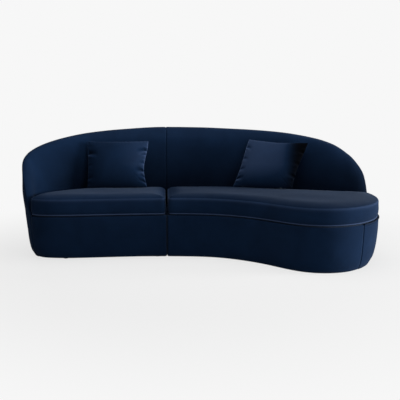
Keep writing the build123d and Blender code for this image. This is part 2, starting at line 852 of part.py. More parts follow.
    # Seat cushion: foam block, fabric round it, and the welt along its bottom seam
    with BuildPart() as seat_foam:
        add(cushion_block(side, skin_thickness + soft_gap))
    finish(seat_foam, side + "_seat_foam")

    with BuildPart() as seat_cover:
        add(cushion_block(side, 0))
        add(cushion_block(side, skin_thickness), mode=Mode.SUBTRACT)
    finish(seat_cover, side + "_seat_cover")

    with BuildPart() as seat_welt:
        add(welt_block(side))
        add(cushion_block(side, -soft_gap), mode=Mode.SUBTRACT)
    finish(seat_welt, side + "_seat_welt")

    # Zip of the seat cushion, on its straight side in the join
    zip_side = facing[side] * (join_gap / 2 + cushion_join_gap - soft_gap)
    zip_origin = join_front + join_along * seat_zip_place + join_normal * zip_side
    zip_plane = Plane(origin=(zip_origin.X, zip_origin.Y, zip_height), x_dir=join_along,
                      z_dir=join_normal * -facing[side])
    with BuildPart() as seat_zip:
        with BuildSketch(zip_plane):
            Rectangle(seat_zip_length, tape_width)
        extrude(amount=tape_thickness)
    finish(seat_zip, side + "_seat_zip")

    slider_place = seat_zip_length / 2 - slider_length / 2
    with BuildPart() as seat_slider:
        with BuildSketch(zip_plane.offset(tape_thickness + soft_gap)):
            with Locations((slider_place, 0)):
                RectangleRounded(slider_length, slider_width, slider_width / 4)
        extrude(amount=slider_thickness)
        with BuildSketch(zip_plane.offset(tape_thickness + soft_gap + slider_thickness
                                          - pull_thickness)):
            with Locations((slider_place - pull_length / 2, 0)):
                Rectangle(pull_length, pull_width)
        extrude(amount=pull_thickness)
    finish(seat_slider, side + "_seat_slider")

    # Throw cushion: filling, fabric, and a zip in its bottom seam
    with BuildPart() as throw_filling:
        add(throw_block(side, skin_thickness + soft_gap))
    finish(throw_filling, side + "_throw_filling")

    with BuildPart() as throw_cover:
        add(throw_block(side, 0))
        add(throw_block(side, skin_thickness), mode=Mode.SUBTRACT)
    finish(throw_cover, side + "_throw_cover")

    slope = throw_plane(side)
    tape_high = throw_lift - soft_gap
    slider_high = tape_high - tape_thickness - soft_gap
    with BuildPart() as throw_zip:
        with BuildSketch(slope.offset(-throw_rim / 2 + soft_gap)):
            with Locations((0, tape_high - tape_thickness / 2)):
                Rectangle(throw_zip_length, tape_thickness)
        extrude(amount=throw_rim - 2 * soft_gap)
    finish(throw_zip, side + "_throw_zip")

    with BuildPart() as throw_slider:
        with BuildSketch(slope.offset(-slider_width / 2)):
            with Locations((throw_zip_length / 2 - slider_length / 2,
                            slider_high - slider_thickness / 2)):
                Rectangle(slider_length, slider_thickness)
        extrude(amount=slider_width)
    finish(throw_slider, side + "_throw_slider")
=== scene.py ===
import bmesh
import bpy
import numpy as np
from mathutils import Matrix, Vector


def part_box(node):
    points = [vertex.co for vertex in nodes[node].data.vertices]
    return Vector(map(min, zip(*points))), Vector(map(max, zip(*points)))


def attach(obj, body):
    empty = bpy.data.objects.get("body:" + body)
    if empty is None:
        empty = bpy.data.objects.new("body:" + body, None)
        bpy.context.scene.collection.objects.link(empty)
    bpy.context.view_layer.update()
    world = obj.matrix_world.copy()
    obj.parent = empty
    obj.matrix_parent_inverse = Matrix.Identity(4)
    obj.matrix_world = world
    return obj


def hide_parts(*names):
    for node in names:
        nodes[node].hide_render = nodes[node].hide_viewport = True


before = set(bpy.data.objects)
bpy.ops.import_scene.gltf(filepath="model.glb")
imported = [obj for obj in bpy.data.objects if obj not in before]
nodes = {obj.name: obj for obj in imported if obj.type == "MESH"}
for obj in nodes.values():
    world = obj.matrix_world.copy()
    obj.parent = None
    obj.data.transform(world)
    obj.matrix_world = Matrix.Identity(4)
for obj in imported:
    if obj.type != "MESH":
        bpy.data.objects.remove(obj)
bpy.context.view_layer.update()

# Plywood frame: rings, slats, posts, ribs, rail and bent facings of birch plywood, glued and
# stapled into one carcass per module. The faces show pale rotary-cut grain, and the sawn
# edges show the plies.


def shade(code):
    """Linear colour of an sRGB hex code."""
    parts = [int(code[i:i + 2], 16) / 255 for i in (1, 3, 5)]
    line = [p / 12.92 if p <= 0.04045 else ((p + 0.055) / 1.055) ** 2.4 for p in parts]
    return (*line, 1.0)


def add_node(tree, kind, inputs=None, **settings):
    """Adds a node, sets what it has, and fills its inputs with values or with outputs."""
    node = tree.nodes.new(kind)
    for name, value in settings.items():
        setattr(node, name, value)
    for name, value in (inputs or {}).items():
        if isinstance(value, bpy.types.NodeSocket):
            tree.links.new(value, node.inputs[name])
        else:
            node.inputs[name].default_value = value
    return node


def start_finish(name, values=None):
    """A material whose shader has these values, its tree and the object's coordinates."""
    finish = bpy.data.materials.new(name)
    finish.use_nodes = True
    tree = finish.node_tree
    tree.nodes.clear()
    skin = add_node(tree, "ShaderNodeBsdfPrincipled", values)
    add_node(tree, "ShaderNodeOutputMaterial", {"Surface": skin.outputs["BSDF"]})
    place = add_node(tree, "ShaderNodeTexCoord").outputs["Object"]
    return finish, tree, skin, place


def feed(tree, skin, name, output):
    """Joins an output to one of the shader's sockets."""
    tree.links.new(output, skin.inputs[name])


plywood, tree, skin, place = start_finish("birch_plywood_sawn", {"Roughness": 0.62})
# Grain about 6 mm wide and ten times as long.
grain_place = add_node(tree, "ShaderNodeMapping", {"Vector": place, "Scale": (6, 60, 60)})
grain = add_node(tree, "ShaderNodeTexNoise", {"Vector": grain_place.outputs["Vector"],
                                              "Scale": 3.0, "Detail": 8.0})
# 1.4 mm plies, seen on the sawn edges.
plies = add_node(tree, "ShaderNodeTexWave", {"Vector": place, "Scale": 1 / 0.0088,
                                             "Distortion": 0.3}, bands_direction="Z")
face = add_node(tree, "ShaderNodeNewGeometry")
upright = add_node(tree, "ShaderNodeSeparateXYZ", {"Vector": face.outputs["Normal"]})
level = add_node(tree, "ShaderNodeMath", {0: upright.outputs["Z"]}, operation="ABSOLUTE")
tone = add_node(tree, "ShaderNodeMix", {"Factor": level.outputs["Value"], "A": plies.outputs["Fac"],
                                        "B": grain.outputs["Fac"]}, data_type="FLOAT")
wood = add_node(tree, "ShaderNodeValToRGB", {"Fac": tone.outputs["Result"]})
wood.color_ramp.elements[0].color = shade("#a98556")
wood.color_ramp.elements[1].color = shade("#d9bd8c")
feed(tree, skin, "Base Color", wood.outputs["Color"])
scuff = add_node(tree, "ShaderNodeBump", {"Height": grain.outputs["Fac"], "Strength": 0.25,
                                          "Distance": 0.0004})
feed(tree, skin, "Normal", scuff.outputs["Normal"])

card, tree, skin, place = start_finish("pressed_lining_board", {"Roughness": 0.8})
# Clumps of fibre, 2.4 mm across.
fibre = add_node(tree, "ShaderNodeTexNoise", {"Vector": place, "Scale": 1 / 0.0024, "Detail": 6.0})
pulp = add_node(tree, "ShaderNodeValToRGB", {"Fac": fibre.outputs["Fac"]})
pulp.color_ramp.elements[0].color = shade("#8a6f4e")
pulp.color_ramp.elements[1].color = shade("#a98d68")
feed(tree, skin, "Base Color", pulp.outputs["Color"])
fuzz = add_node(tree, "ShaderNodeBump", {"Height": fibre.outputs["Fac"], "Strength": 0.3,
                                         "Distance": 0.0003})
feed(tree, skin, "Normal", fuzz.outputs["Normal"])


def dress(node, finish):
    """Gives a node of the model its finish."""
    mesh = nodes[node].data
    mesh.materials.clear()
    mesh.materials.append(finish)


sides = ("left", "right")
for side in sides:
    for name in ("base_board", "bottom_ring", "cross_slats", "seat_ring", "posts",
                 "back_ribs", "back_board", "top_rail"):
        dress(side + "_" + name, plywood)
    dress(side + "_back_liner", card)

# Seat springs of drawn steel wire, oiled, lying in moulded clips that are stapled to the
# seat ring. A grey cloth is stapled over them.


def uneven_gloss(tree, skin, place, size, smooth, rough):
    """Roughness that wanders between two values, and the noise of that size it follows."""
    noise = add_node(tree, "ShaderNodeTexNoise", {"Vector": place, "Scale": 1 / size})
    gloss = add_node(tree, "ShaderNodeMapRange", {"Value": noise.outputs["Fac"],
                                                  "To Min": smooth, "To Max": rough})
    feed(tree, skin, "Roughness", gloss.outputs["Result"])
    return noise


# Drawn wire is bright, with fine dull marks from the die, here 1.1 mm apart.
spring_steel, tree, skin, place = start_finish(
    "drawn_spring_steel", {"Metallic": 1.0, "Base Color": shade("#8c8c90")})
uneven_gloss(tree, skin, place, 0.0011, 0.30, 0.48)

# Moulded plastic has the even, half matt face of its mould.
clip_plastic, tree, skin, place = start_finish(
    "moulded_clip_plastic", {"Base Color": shade("#dcdcd4")})
uneven_gloss(tree, skin, place, 0.0014, 0.42, 0.56)


def bonded_cloth(name, dark, light):
    """Bonded cloth: fibres matted in 3.8 mm clumps, with pressed dots 1.6 mm apart."""
    finish, tree, skin, place = start_finish(name, {"Roughness": 0.85, "Specular IOR Level": 0.2})
    dots = add_node(tree, "ShaderNodeTexVoronoi", {"Vector": place, "Scale": 1 / 0.0016,
                                                   "Randomness": 0.15})
    mat = add_node(tree, "ShaderNodeTexNoise", {"Vector": place, "Scale": 1 / 0.0038, "Detail": 5.0})
    both = add_node(tree, "ShaderNodeMath", {0: dots.outputs["Distance"],
                                             1: mat.outputs["Fac"]}, operation="MULTIPLY")
    tint = add_node(tree, "ShaderNodeValToRGB", {"Fac": mat.outputs["Fac"]})
    tint.color_ramp.elements[0].color = shade(dark)
    tint.color_ramp.elements[1].color = shade(light)
    feed(tree, skin, "Base Color", tint.outputs["Color"])
    relief = add_node(tree, "ShaderNodeBump", {"Height": both.outputs["Value"],
                                               "Strength": 0.4, "Distance": 0.0003})
    feed(tree, skin, "Normal", relief.outputs["Normal"])
    return finish


def stretch_sheet(node, finish):
    """Gives a flat cloth of the model its finish."""
    dress(node, finish)


deck_cloth = bonded_cloth("bonded_deck_cloth", "#232327", "#34343a")
# Each sheet is cut to the curve of its module.
for side in sides:
    dress(side + "_springs", spring_steel)
    dress(side + "_spring_clips", clip_plastic)
    stretch_sheet(side + "_deck_cloth", deck_cloth)

# Cloth for the back, arm, base and cushions: cotton velvet with a short dense pile, dyed
# dark navy. The pile is nearly black seen straight on and turns a soft slate grey where it
# is seen along the surface. Where it is brushed the other way it lies a little lighter or
# darker. Its colour also carries painted light and shade: painted highlights on seams, piping
# and folds, and painted shade low on the back, on one seat top and on the throw cushions.
velvet, tree, skin, place = start_finish(
    "short_pile_cotton_velvet", {"Roughness": 0.9, "Specular IOR Level": 0.02,
                                 "Sheen Roughness": 0.40, "Sheen Tint": shade("#8c9ab0")})
# Hands and cushions brush the pile in patches about 200 mm wide.
brushed = add_node(tree, "ShaderNodeTexNoise", {"Vector": place, "Scale": 1 / 0.200,
                                                "Detail": 3.0, "Roughness": 0.55, "Distortion": 0.6})
# Pile tufts stand about 0.5 mm apart, and are drawn at 1.4 mm so that they can be seen.
pile = add_node(tree, "ShaderNodeTexNoise", {"Vector": place, "Scale": 1 / 0.0014, "Detail": 2.0})
# Painted light and shade, read from an attribute of each piece: 1 is plain, less is painted shade,
# more is painted highlight.
painted_light_and_shade = add_node(tree, "ShaderNodeAttribute", attribute_name="painted_light_and_shade")
brush_tone = add_node(tree, "ShaderNodeMapRange", {"Value": brushed.outputs["Fac"],
                                                   "From Min": 0.3, "From Max": 0.7,
                                                   "To Min": 0.86, "To Max": 1.14})
pile_tone = add_node(tree, "ShaderNodeMapRange", {"Value": pile.outputs["Fac"],
                                                  "From Min": 0.3, "From Max": 0.7,
                                                  "To Min": 0.84, "To Max": 1.16})
both_tones = add_node(tree, "ShaderNodeMath", {0: brush_tone.outputs["Result"],
                                               1: pile_tone.outputs["Result"]}, operation="MULTIPLY")
# The pile's random tone, times the painted light and shade.
pile_tone_and_painted_light = add_node(tree, "ShaderNodeMath", {0: both_tones.outputs["Value"],
                                         1: painted_light_and_shade.outputs["Fac"]}, operation="MULTIPLY")
depth = add_node(tree, "ShaderNodeVectorMath", {0: shade("#0d1d33")[:3],
                                                "Scale": pile_tone_and_painted_light.outputs["Value"]}, operation="SCALE")
# Painted highlight: where the painted light rises above 1, on seams and piping, the colour turns paler
# and greyer.
painted_highlight = add_node(tree, "ShaderNodeMapRange", {"Value": painted_light_and_shade.outputs["Fac"],
                                               "From Min": 1.0, "From Max": 4.0})
cloth_tone = add_node(tree, "ShaderNodeMix", {"A": depth.outputs["Vector"], "B": shade("#4a5670")[:3],
                                              "Factor": painted_highlight.outputs["Result"]}, data_type="VECTOR")
feed(tree, skin, "Base Color", cloth_tone.outputs["Result"])
# The sheen weight follows the painted light and shade, so painted shade loses its sheen as well.
soft_sheen = add_node(tree, "ShaderNodeMapRange", {"Value": painted_light_and_shade.outputs["Fac"], "To Max": 0.14})
feed(tree, skin, "Sheen Weight", soft_sheen.outputs["Result"])
tufts = add_node(tree, "ShaderNodeBump", {"Height": pile.outputs["Fac"], "Strength": 0.35,
                                          "Distance": 0.0005})
feed(tree, skin, "Normal", tufts.outputs["Normal"])

# Outline of the sofa at seat height, anticlockwise from the left arm, in metres.
half_size = np.array([1.215, 0.540])
overall_height = 0.857
foot_height, base_top = 0.018, 0.298
# The cloth hangs a little lower than the frame, so that only the ends of the feet show.
hem_height = 0.010
seam_height, crown_height = 0.416, 0.440
# The outline's points, as shares of half the width and of half the depth.
waist_shares = np.array([
    (-0.977, 0.004), (-0.966, -0.122), (-0.934, -0.231), (-0.886, -0.300), (-0.823, -0.326),
    (-0.700, -0.315), (-0.412, -0.244), (-0.123, -0.206), (0.000, -0.222), (0.107, -0.274),
    (0.214, -0.381), (0.305, -0.511), (0.387, -0.672), (0.461, -0.820), (0.543, -0.935),
    (0.642, -0.985), (0.741, -0.950), (0.831, -0.839), (0.905, -0.672), (0.963, -0.441),
    (0.991, -0.200), (0.997, 0.004), (0.985, 0.189), (0.947, 0.337), (0.877, 0.448),
    (0.782, 0.528), (0.676, 0.606), (0.494, 0.735), (0.329, 0.833), (0.165, 0.902),
    (0.000, 0.930), (-0.224, 0.911), (-0.494, 0.837), (-0.669, 0.741), (-0.795, 0.596),
    (-0.894, 0.402), (-0.955, 0.207)])


def round_curve(points, steps):
    """Even curve through a ring of points, as a dense ring of places."""
    count = len(points)
    after = np.roll(points, -1, axis=0)
    gap = np.linalg.norm(after - points, axis=1)
    before_gap = np.roll(gap, 1)
    rule = np.zeros((count, count))
    for i in range(count):
        rule[i, i - 1] += before_gap[i]
        rule[i, i] += 2 * (before_gap[i] + gap[i])
        rule[i, (i + 1) % count] += gap[i]
    slope = (after - points) / gap[:, None]
    bend = np.linalg.solve(rule, 6 * (slope - np.roll(slope, 1, axis=0)))
    out = []
    for i in range(count):
        t = np.linspace(0, gap[i], steps, endpoint=False)[:, None]
        h, b0, b1 = gap[i], bend[i], bend[(i + 1) % count]
        out.append(points[i] + t * (slope[i] - h * (2 * b0 + b1) / 6)
                   + t ** 2 * b0 / 2 + t ** 3 * (b1 - b0) / (6 * h))
    return np.concatenate(out)


waist = round_curve(waist_shares * half_size, 120)
waist = np.vstack([waist, waist[:1]])
run = np.concatenate([[0], np.cumsum(np.linalg.norm(np.diff(waist, axis=0), axis=1))])
waist_length = run[-1]
run = run / waist_length


def on_waist(share):
    """Places on the outline, and the directions along it, at shares of its length."""
    share = np.asarray(share, float) % 1
    step = 0.002
    spot, ahead, behind = (np.stack([np.interp(at % 1, run, waist[:, i]) for i in (0, 1)], -1)
                           for at in (share, share + step, share - step))
    way = ahead - behind
    return spot, way / np.linalg.norm(way, axis=-1, keepdims=True)


def turned(way):
    """Directions turned a quarter to the right. Along the outline, that is outwards."""
    return np.stack([way[..., 1], -way[..., 0]], -1)


def outwards(share, reach):
    """Places that lie a distance outside the outline."""
    spot, way = on_waist(share)
    return spot + turned(way) * np.asarray(reach)[..., None]


def ease(table, at):
    """Even curve through a table's rows of place and value, with no swing past them."""
    table = np.asarray(table, float)
    xs, ys, at = table[:, 0], table[:, 1], np.asarray(at, float)
    gap = np.diff(xs)
    slope = np.diff(ys) / gap
    lean = np.zeros(len(xs))
    pair = slope[:-1] * slope[1:]
    same = pair > 0
    lean[1:-1][same] = 2 * pair[same] / (slope[:-1] + slope[1:])[same]
    lean[0], lean[-1] = slope[0], slope[-1]
    row = np.clip(np.searchsorted(xs, at) - 1, 0, len(gap) - 1)
    t = np.clip((at - xs[row]) / gap[row], 0, 1)
    return ((2 * t ** 3 - 3 * t ** 2 + 1) * ys[row] + (t ** 3 - 2 * t ** 2 + t) * gap[row]
            * lean[row] + (3 * t ** 2 - 2 * t ** 3) * ys[row + 1]
            + (t ** 3 - t ** 2) * gap[row] * lean[row + 1])


# The base is drawn in at its hem: shares of its height, and of the way it is drawn in there.
base_sides = [(0.0, 1.0), (0.08, 0.6), (0.22, 0.33), (0.47, 0.11), (0.80, 0.0), (1.0, 0.0)]
hem_draw, front_eased = 0.045, 0.42
# At the end of the chaise its whole side lies inside the outline, a little more at the hem.
end_inset, end_inset_at_hem = 0.0055, 0.0085


def base_inset(height, share=0.75):
    """How far the base's side lies inside the outline, less at the front, more at the end."""
    up = (np.asarray(height) - foot_height) / (base_top - foot_height)
    place = np.asarray(share) % 1
    front = np.interp(place, [0.030, 0.075, 0.300, 0.350, 0.410, 0.470], [0, 1, 1, 1.35, 1.35, 0])
    end = np.interp(place, [0.360, 0.430, 0.520, 0.600], [0, 1, 1, 0])
    drawn = hem_draw * ease(base_sides, up)
    straight = (end_inset_at_hem - end_inset) * (1 - np.clip(up, 0, 1)) + end_inset
    return drawn * (1 - front_eased * front) + straight * end


hem_drop = 0.006


def hang(spots):
    """How far the lower edge of the cloth hangs down at the front of the chaise."""
    x, y, z = spots[..., 0], spots[..., 1], spots[..., 2]
    return (hem_drop * np.interp(x, [-0.40, -0.10], [0, 1]) * np.interp(y, [-0.25, 0.05], [1, 0])
            * np.interp(z, [0.02, 0.10], [1, 0]))


# The join between the two modules: a straight upright cut, turned 3 degrees.
join_turn = np.radians(3.0)
join_along = np.array([-np.sin(join_turn), np.cos(join_turn)])
join_normal = np.array([np.cos(join_turn), np.sin(join_turn)])
join_front = np.array([-0.184, -0.20]) * half_size
facing = {"left": -1, "right": 1}
front_join_share, back_join_share = 0.186, 0.8015


def past_join(spot):
    """How far places lie to the right of the middle of the join."""
    return (spot - join_front) @ join_normal


def meet_join(side, near, reach_of, gap):
    """Share of the outline at which an edge comes within a gap of the middle of the join."""
    low, high = near - 0.04, near + 0.04
    target = facing[side] * gap
    rising = near < 0.5
    for _ in range(30):
        middle = (low + high) / 2
        beyond = past_join(outwards(middle, reach_of(middle))) > target
        if beyond == rising:
            high = middle
        else:
            low = middle
    return (low + high) / 2


swell_reach, swell_pitch = 0.0016, 0.110


def press(spot):
    """How far the padded faces in the join push each other aside, at places along it."""
    return swell_reach * np.sin(2 * np.pi * ((spot - join_front) @ join_along) / swell_pitch)


# Pressed together, the two faces stand this far from the middle between them.
touch = 0.0004


# Back and arm: a foam-padded shell that wraps the seat from the chaise to the left arm. One
# velvet panel covers its outer side down to the hem and another its rounded inner side. They
# are sewn together in a sharp edge along the top, and end in upright seams at the front.


def new_object(name, data):
    """An object with its mesh, lamp or camera, put in the scene."""
    thing = bpy.data.objects.new(name, data)
    bpy.context.scene.collection.objects.link(thing)
    return thing


def add_grid(name, grid, body, tones, closed_round=False, close_ends=False):
    """A piece from rows of places: grid[column][row] is a point, in metres."""
    columns, rows = grid.shape[:2]
    spots = [tuple(p) for p in grid.reshape(-1, 3)]
    tones = list(np.broadcast_to(tones, grid.shape[:2]).ravel())
    faces = []
    last = columns if closed_round else columns - 1
    for c in range(last):
        d = (c + 1) % columns
        for r in range(rows - 1):
            faces.append((c * rows + r, d * rows + r, d * rows + r + 1, c * rows + r + 1))
    if close_ends:
        for r in (0, rows - 1):
            ring = [c * rows + r for c in range(columns)]
            middle = len(spots)
            spots.append(tuple(grid[:, r].mean(axis=0)))
            tones.append(1.0)
            for a, b in zip(ring, ring[1:] + ring[:1]):
                faces.append((b, a, middle) if r == 0 else (a, b, middle))
    mesh = bpy.data.meshes.new(name)
    mesh.from_pydata(spots, [], faces)
    mesh.update()
    piece = new_object(name, mesh)
    set_painted_light(piece, tones)
    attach(piece, body)
    return piece


def set_painted_light(piece, tones):
    """Painted light and shade at each point, as the attribute that the velvet reads."""
    mark = piece.data.attributes.new("painted_light_and_shade", "FLOAT", "POINT")
    mark.data.foreach_set("value", np.asarray(tones, np.float32).ravel())


def shaped_mesh(piece):
    """A piece's mesh as its modifiers leave it. They are then taken off the piece."""
    view = bpy.context.evaluated_depsgraph_get()
    mesh = bpy.data.meshes.new_from_object(piece.evaluated_get(view))
    piece.modifiers.clear()
    return mesh


def settle(piece, finish):
    """Makes a piece's modifiers part of its mesh and gives it its finish."""
    if piece.modifiers:
        old = piece.data
        piece.data = shaped_mesh(piece)
        bpy.data.meshes.remove(old)
    piece.data.materials.clear()
    piece.data.materials.append(finish)
    piece.data.polygons.foreach_set("use_smooth", [True] * len(piece.data.polygons))


cloth_thickness = 0.0018


def make_cloth(piece):
    """Gives a piece of velvet its thickness, inwards from its outer face, and its finish."""
    cloth = piece.modifiers.new("cloth", "SOLIDIFY")
    cloth.thickness, cloth.offset = cloth_thickness, -1
    settle(piece, velvet)


def ripple(spots, size, depth):
    """Slow uneven swells over a padded surface, the same in each run."""
    x, y, z = spots[..., 0] / size, spots[..., 1] / size, spots[..., 2] / size
    wave = (np.sin(1.7 * x + 2.3 * y + 0.4) + np.sin(2.9 * y - 1.3 * z + 1.9)
            + np.sin(3.1 * z + 1.1 * x + 4.2) + 0.6 * np.sin(5.3 * x - 4.1 * y + 2.7 * z))
    return depth * wave / 3.6


def groove(distance, width, depth):
    """Narrow dip of a sewn seam, with the cloth standing a little proud on both sides."""
    near = (distance / width) ** 2
    return depth * (np.exp(-near) - 0.35 * np.exp(-near / 12))


# Shares of the outline, and there the height, depth and padding of the back as shares of
# their largest values.
shell_rows = np.array([
    (0.4270, 0.349, 0.10, 0.00), (0.5300, 0.349, 0.10, 0.00), (0.5350, 0.355, 0.12, 0.00),
    (0.5380, 0.420, 0.22, 0.00), (0.5405, 0.490, 0.30, 0.08), (0.5440, 0.568, 0.42, 0.18),
    (0.5479, 0.634, 0.52, 0.30), (0.5565, 0.714, 0.66, 0.50), (0.5661, 0.780, 0.78, 0.75),
    (0.5874, 0.870, 0.90, 1.00), (0.6110, 0.917, 0.92, 1.00), (0.6512, 0.959, 0.92, 1.00),
    (0.6872, 0.977, 0.93, 1.00), (0.7225, 0.987, 0.94, 1.00), (0.7574, 0.996, 0.96, 1.00),
    (0.8046, 1.000, 1.00, 1.00), (0.8620, 0.981, 0.96, 1.00), (0.9002, 0.956, 0.88, 1.00),
    (0.9301, 0.922, 0.84, 0.90), (0.9578, 0.879, 0.74, 0.68), (0.9802, 0.827, 0.60, 0.42),
    (0.9910, 0.790, 0.50, 0.30), (1.0000, 0.748, 0.44, 0.27), (1.0060, 0.694, 0.40, 0.20),
    (1.0105, 0.640, 0.36, 0.14), (1.0150, 0.570, 0.30, 0.08), (1.0190, 0.480, 0.18, 0.00),
    (1.0215, 0.360, 0.11, 0.00), (1.0235, 0.349, 0.10, 0.00)])
shell_end = {"left": 1.0235, "right": 0.4300}
back_depth, back_pad = 0.125, 0.042
# The outer side leans out by 35 mm up to 300 mm above the base, and then stands upright.
back_lean, lean_height = 0.035, 0.300
# Boards, rail and covers at the ridge, without the padding.
bare_rim = 0.0398
roll_height = 0.170
# The outer side of the arm swells a little above the base: heights, and shares of the swell.
arm_swell = 0.012
arm_fill = [(0.190, 0.0), (0.250, 0.5), (0.310, 1.0), (0.360, 0.95), (0.420, 0.58),
            (0.500, 0.18), (0.560, 0.0)]
# The outer panel is turned in under the base: ways in from its side, and heights.
hem_turn = [(0.030, hem_height + 0.0025), (0.012, hem_height + 0.0007), (0.004, hem_height)]


def shell_section(share):
    """Reach and height of points up the outer side, over the edge and down the inner side,
    the line through its middle that they close on, and the row of the sewn edge."""
    high = overall_height * ease(shell_rows[:, (0, 1)], share)
    depth = back_depth * ease(shell_rows[:, (0, 2)], share)
    pad = back_pad * ease(shell_rows[:, (0, 3)], share)
    rise = max(high - base_top, 0.002)
    knee = min(lean_height, 0.6 * rise)
    lean = back_lean * knee / lean_height
    sit = min(seam_height - base_top, 0.4 * rise)
    rim = min(bare_rim + pad, depth + lean)
    outer_rows = [(base_top - 0.2, 0), (base_top, 0), (base_top + knee, lean), (high + 0.2, lean)]
    inner_rows = [(base_top - 0.2, -depth), (base_top + sit, -depth), (high, lean - rim),
                  (high + 0.2, lean - rim)]
    top = float(base_inset(foot_height, share))
    rows = [(-top - way, z) for way, z in hem_turn]
    for z in np.linspace(hem_height + 0.002, base_top, 16, endpoint=False):
        rows.append((-float(base_inset(z, share)), z))
    settled = float(base_inset(base_top, share))
    small = min(1.0, rise / 0.05)
    for up in np.concatenate([np.linspace(0, 0.94, 18), [0.97, 0.99, 1.0]]):
        z = base_top + (rise - 0.006 * small) * up
        fade = max(0.0, 1 - up * rise / 0.06)
        rows.append((float(ease(outer_rows, z)) - settled * fade, z))
    arm = arm_swell * np.interp(share, [0.90, 0.96, 1.003, 1.0200], [0, 1, 1, 0])
    rows = [(reach + (arm * float(ease(arm_fill, z)) if 0.19 < z < 0.56 else 0), z)
            for reach, z in rows]
    # The sewn edge stands up as a lip 3 mm wide.
    edge = len(rows)
    rows += [(lean - 0.0032 * small, high - 0.0048 * small),
             (lean - 0.0030 * small, high - 0.0036 * small),
             (lean - 0.0002, high - 0.0026 * small), (lean - 0.0006, high - 0.0012 * small)]
    # From the sewn edge the inner side rolls over in one broad curve.
    roll = min(roll_height, 0.50 * rise)
    wide = lean - float(ease(inner_rows, high - roll))
    below_roll = float(ease(inner_rows, high - roll) - ease(inner_rows, high - roll - 0.004))
    bend = float(np.clip(below_roll / 0.004 * roll / wide, 0.36, 0.62))
    for across in np.concatenate([[0.04, 0.08, 0.13], np.linspace(0.19, 1, 24)]):
        rows.append((lean - 0.0012 - (wide - 0.0012) * across,
                     high - 0.0004 - (roll - 0.0004) * across ** (1 / bend)))
    for up in np.linspace(1, 0, 18)[1:]:
        z = base_top - 0.012 + (rise - roll + 0.012) * up
        rows.append((float(ease(inner_rows, z)), z))
    rows = np.array(rows)
    level = np.minimum(rows[:, 1], high - min(0.030, 0.5 * rise))
    core = np.column_stack([(ease(outer_rows, level) + ease(inner_rows, level)) / 2, level])
    below = rows[:, 1] < base_top
    below[edge:] = False
    core[below, 0] = rows[below, 0] - 0.050
    core[below, 1] = rows[below, 1]
    return rows, core, edge


def dense_near(start, end, step, seams):
    """Shares from start to end at a step in metres, closer together at each seam."""
    shares = list(np.arange(start, end, step / waist_length))
    for seam in seams:
        shares += [seam + d / waist_length for d in
                   (-0.008, -0.005, -0.003, -0.0015, 0, 0.0015, 0.003, 0.005, 0.008)]
    return np.unique([s for s in shares if start <= s <= end] + [start, end])


# One upright seam joins the lengths of the inner panel, on the chaise side.
panel_seams = {"left": [], "right": [0.6280]}


def shell_columns(side, join):
    """Columns from the join to the upright seam at the front. Each has its share of the
    outline, a distance in towards the middle, and the share that it goes of the rest."""
    corner, end = 0.010, shell_end[side]
    low, high = (join, end) if side == "left" else (end, join)
    inwards = 1 if side == "left" else -1
    # The first columns close the flat face in the join and turn round its corner.
    columns = []
    for turn in np.radians(np.linspace(0, 90, 6)):
        columns.append((join + inwards * corner * (1 - np.sin(turn)) / waist_length,
                        corner * (1 - np.cos(turn)), 0.0))
    columns = columns[::-1]
    columns = [(join, corner, part) for part in (1.0, 0.75, 0.5, 0.28, 0.12, 0.04)] + columns
    for share in dense_near(low, high, 0.012, panel_seams[side])[::inwards]:
        if abs(share - join) * waist_length > corner and \
                abs(share - end) * waist_length > 0.004:
            columns.append((share, 0.0, 0.0))
    # The last ones are rolled into the seam.
    return columns + [(end - inwards * d / waist_length, way, 0.0) for d, way in
                      ((0.004, 0.0), (0.002, 0.0003), (0.0006, 0.0010), (0, 0.0032))]


def add_shell(side):
    """The back and arm of one module."""
    sheared = 0.15
    join = meet_join(side, back_join_share, lambda share: 0.0, touch)
    columns = shell_columns(side, join)
    grid, tones = [], []
    for share, way, part in columns:
        rows, core, edge = shell_section(share)
        inner = np.arange(len(rows)) > edge + 3
        gap = np.linalg.norm(rows - core, axis=1, keepdims=True)
        moved = np.clip(way / np.maximum(gap, 1e-6), 0, 0.8)
        rows = rows + (core - rows) * (moved + (1 - moved) * part)
        reach = rows[:, 0].copy()
        for seam in panel_seams[side]:
            off = (share - seam) * waist_length
            reach += np.where(inner, groove(off, 0.0022, 0.0022), 0)
        spot = outwards(share, reach)
        # Columns near the join are sheared so that the last one lies in its plane.
        away = abs(share - join) * waist_length
        if away < sheared:
            met = outwards(join, reach)
            run_way = on_waist(join)[1]
            shift = facing[side] * touch + press(met) - past_join(met)
            spot = spot + np.outer(shift / (run_way @ join_normal) * (1 - away / sheared), run_way)
        grid.append(np.column_stack([spot, rows[:, 1]]))
        # Painted shade: the inner side is drawn darker towards the seat, less so along the arm.
        up = np.clip((rows[:, 1] - 0.43) / 0.36, 0, 1)
        seat_shade = 0.34 + 0.50 * np.interp(share, [0.93, 0.98], [0, 1])
        tones.append(np.where(inner, seat_shade + (1.05 - seat_shade) * up ** 1.3, 1.0))
    grid = np.array(grid)
    # The padding is a little uneven under the cloth.
    way = on_waist(np.array([c[0] for c in columns]))[1]
    from_edge = np.abs(np.arange(grid.shape[1]) - edge) / 9.0
    soft = np.clip(from_edge - 0.4, 0, 1) * np.where(np.arange(grid.shape[1]) > edge, 1, 0.3)
    closing = np.array([1.0 - min(1.0, c[2] * 20 + c[1] / 0.007) for c in columns])
    swell = ripple(grid, size=0.16, depth=0.0014) * soft[None, :] * closing[:, None]
    grid[:, :, :2] -= turned(way)[:, None, :] * swell[..., None]
    grid[:, :, 2] -= hang(grid)
    if side == "left":
        grid, tones = grid[::-1], tones[::-1]
    piece = add_grid(side + "_back_and_arm", grid, side + "_module", np.array(tones))
    make_cloth(piece)
    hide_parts(side + "_back_cover", side + "_back_foam")


for side in sides:
    add_shell(side)

# Front ends of the back's boards and rail: the same bent plywood and lining, cut lower where
# the padded edge comes down to the seat, so that they stay under the padding.
padding_over_boards = 0.006


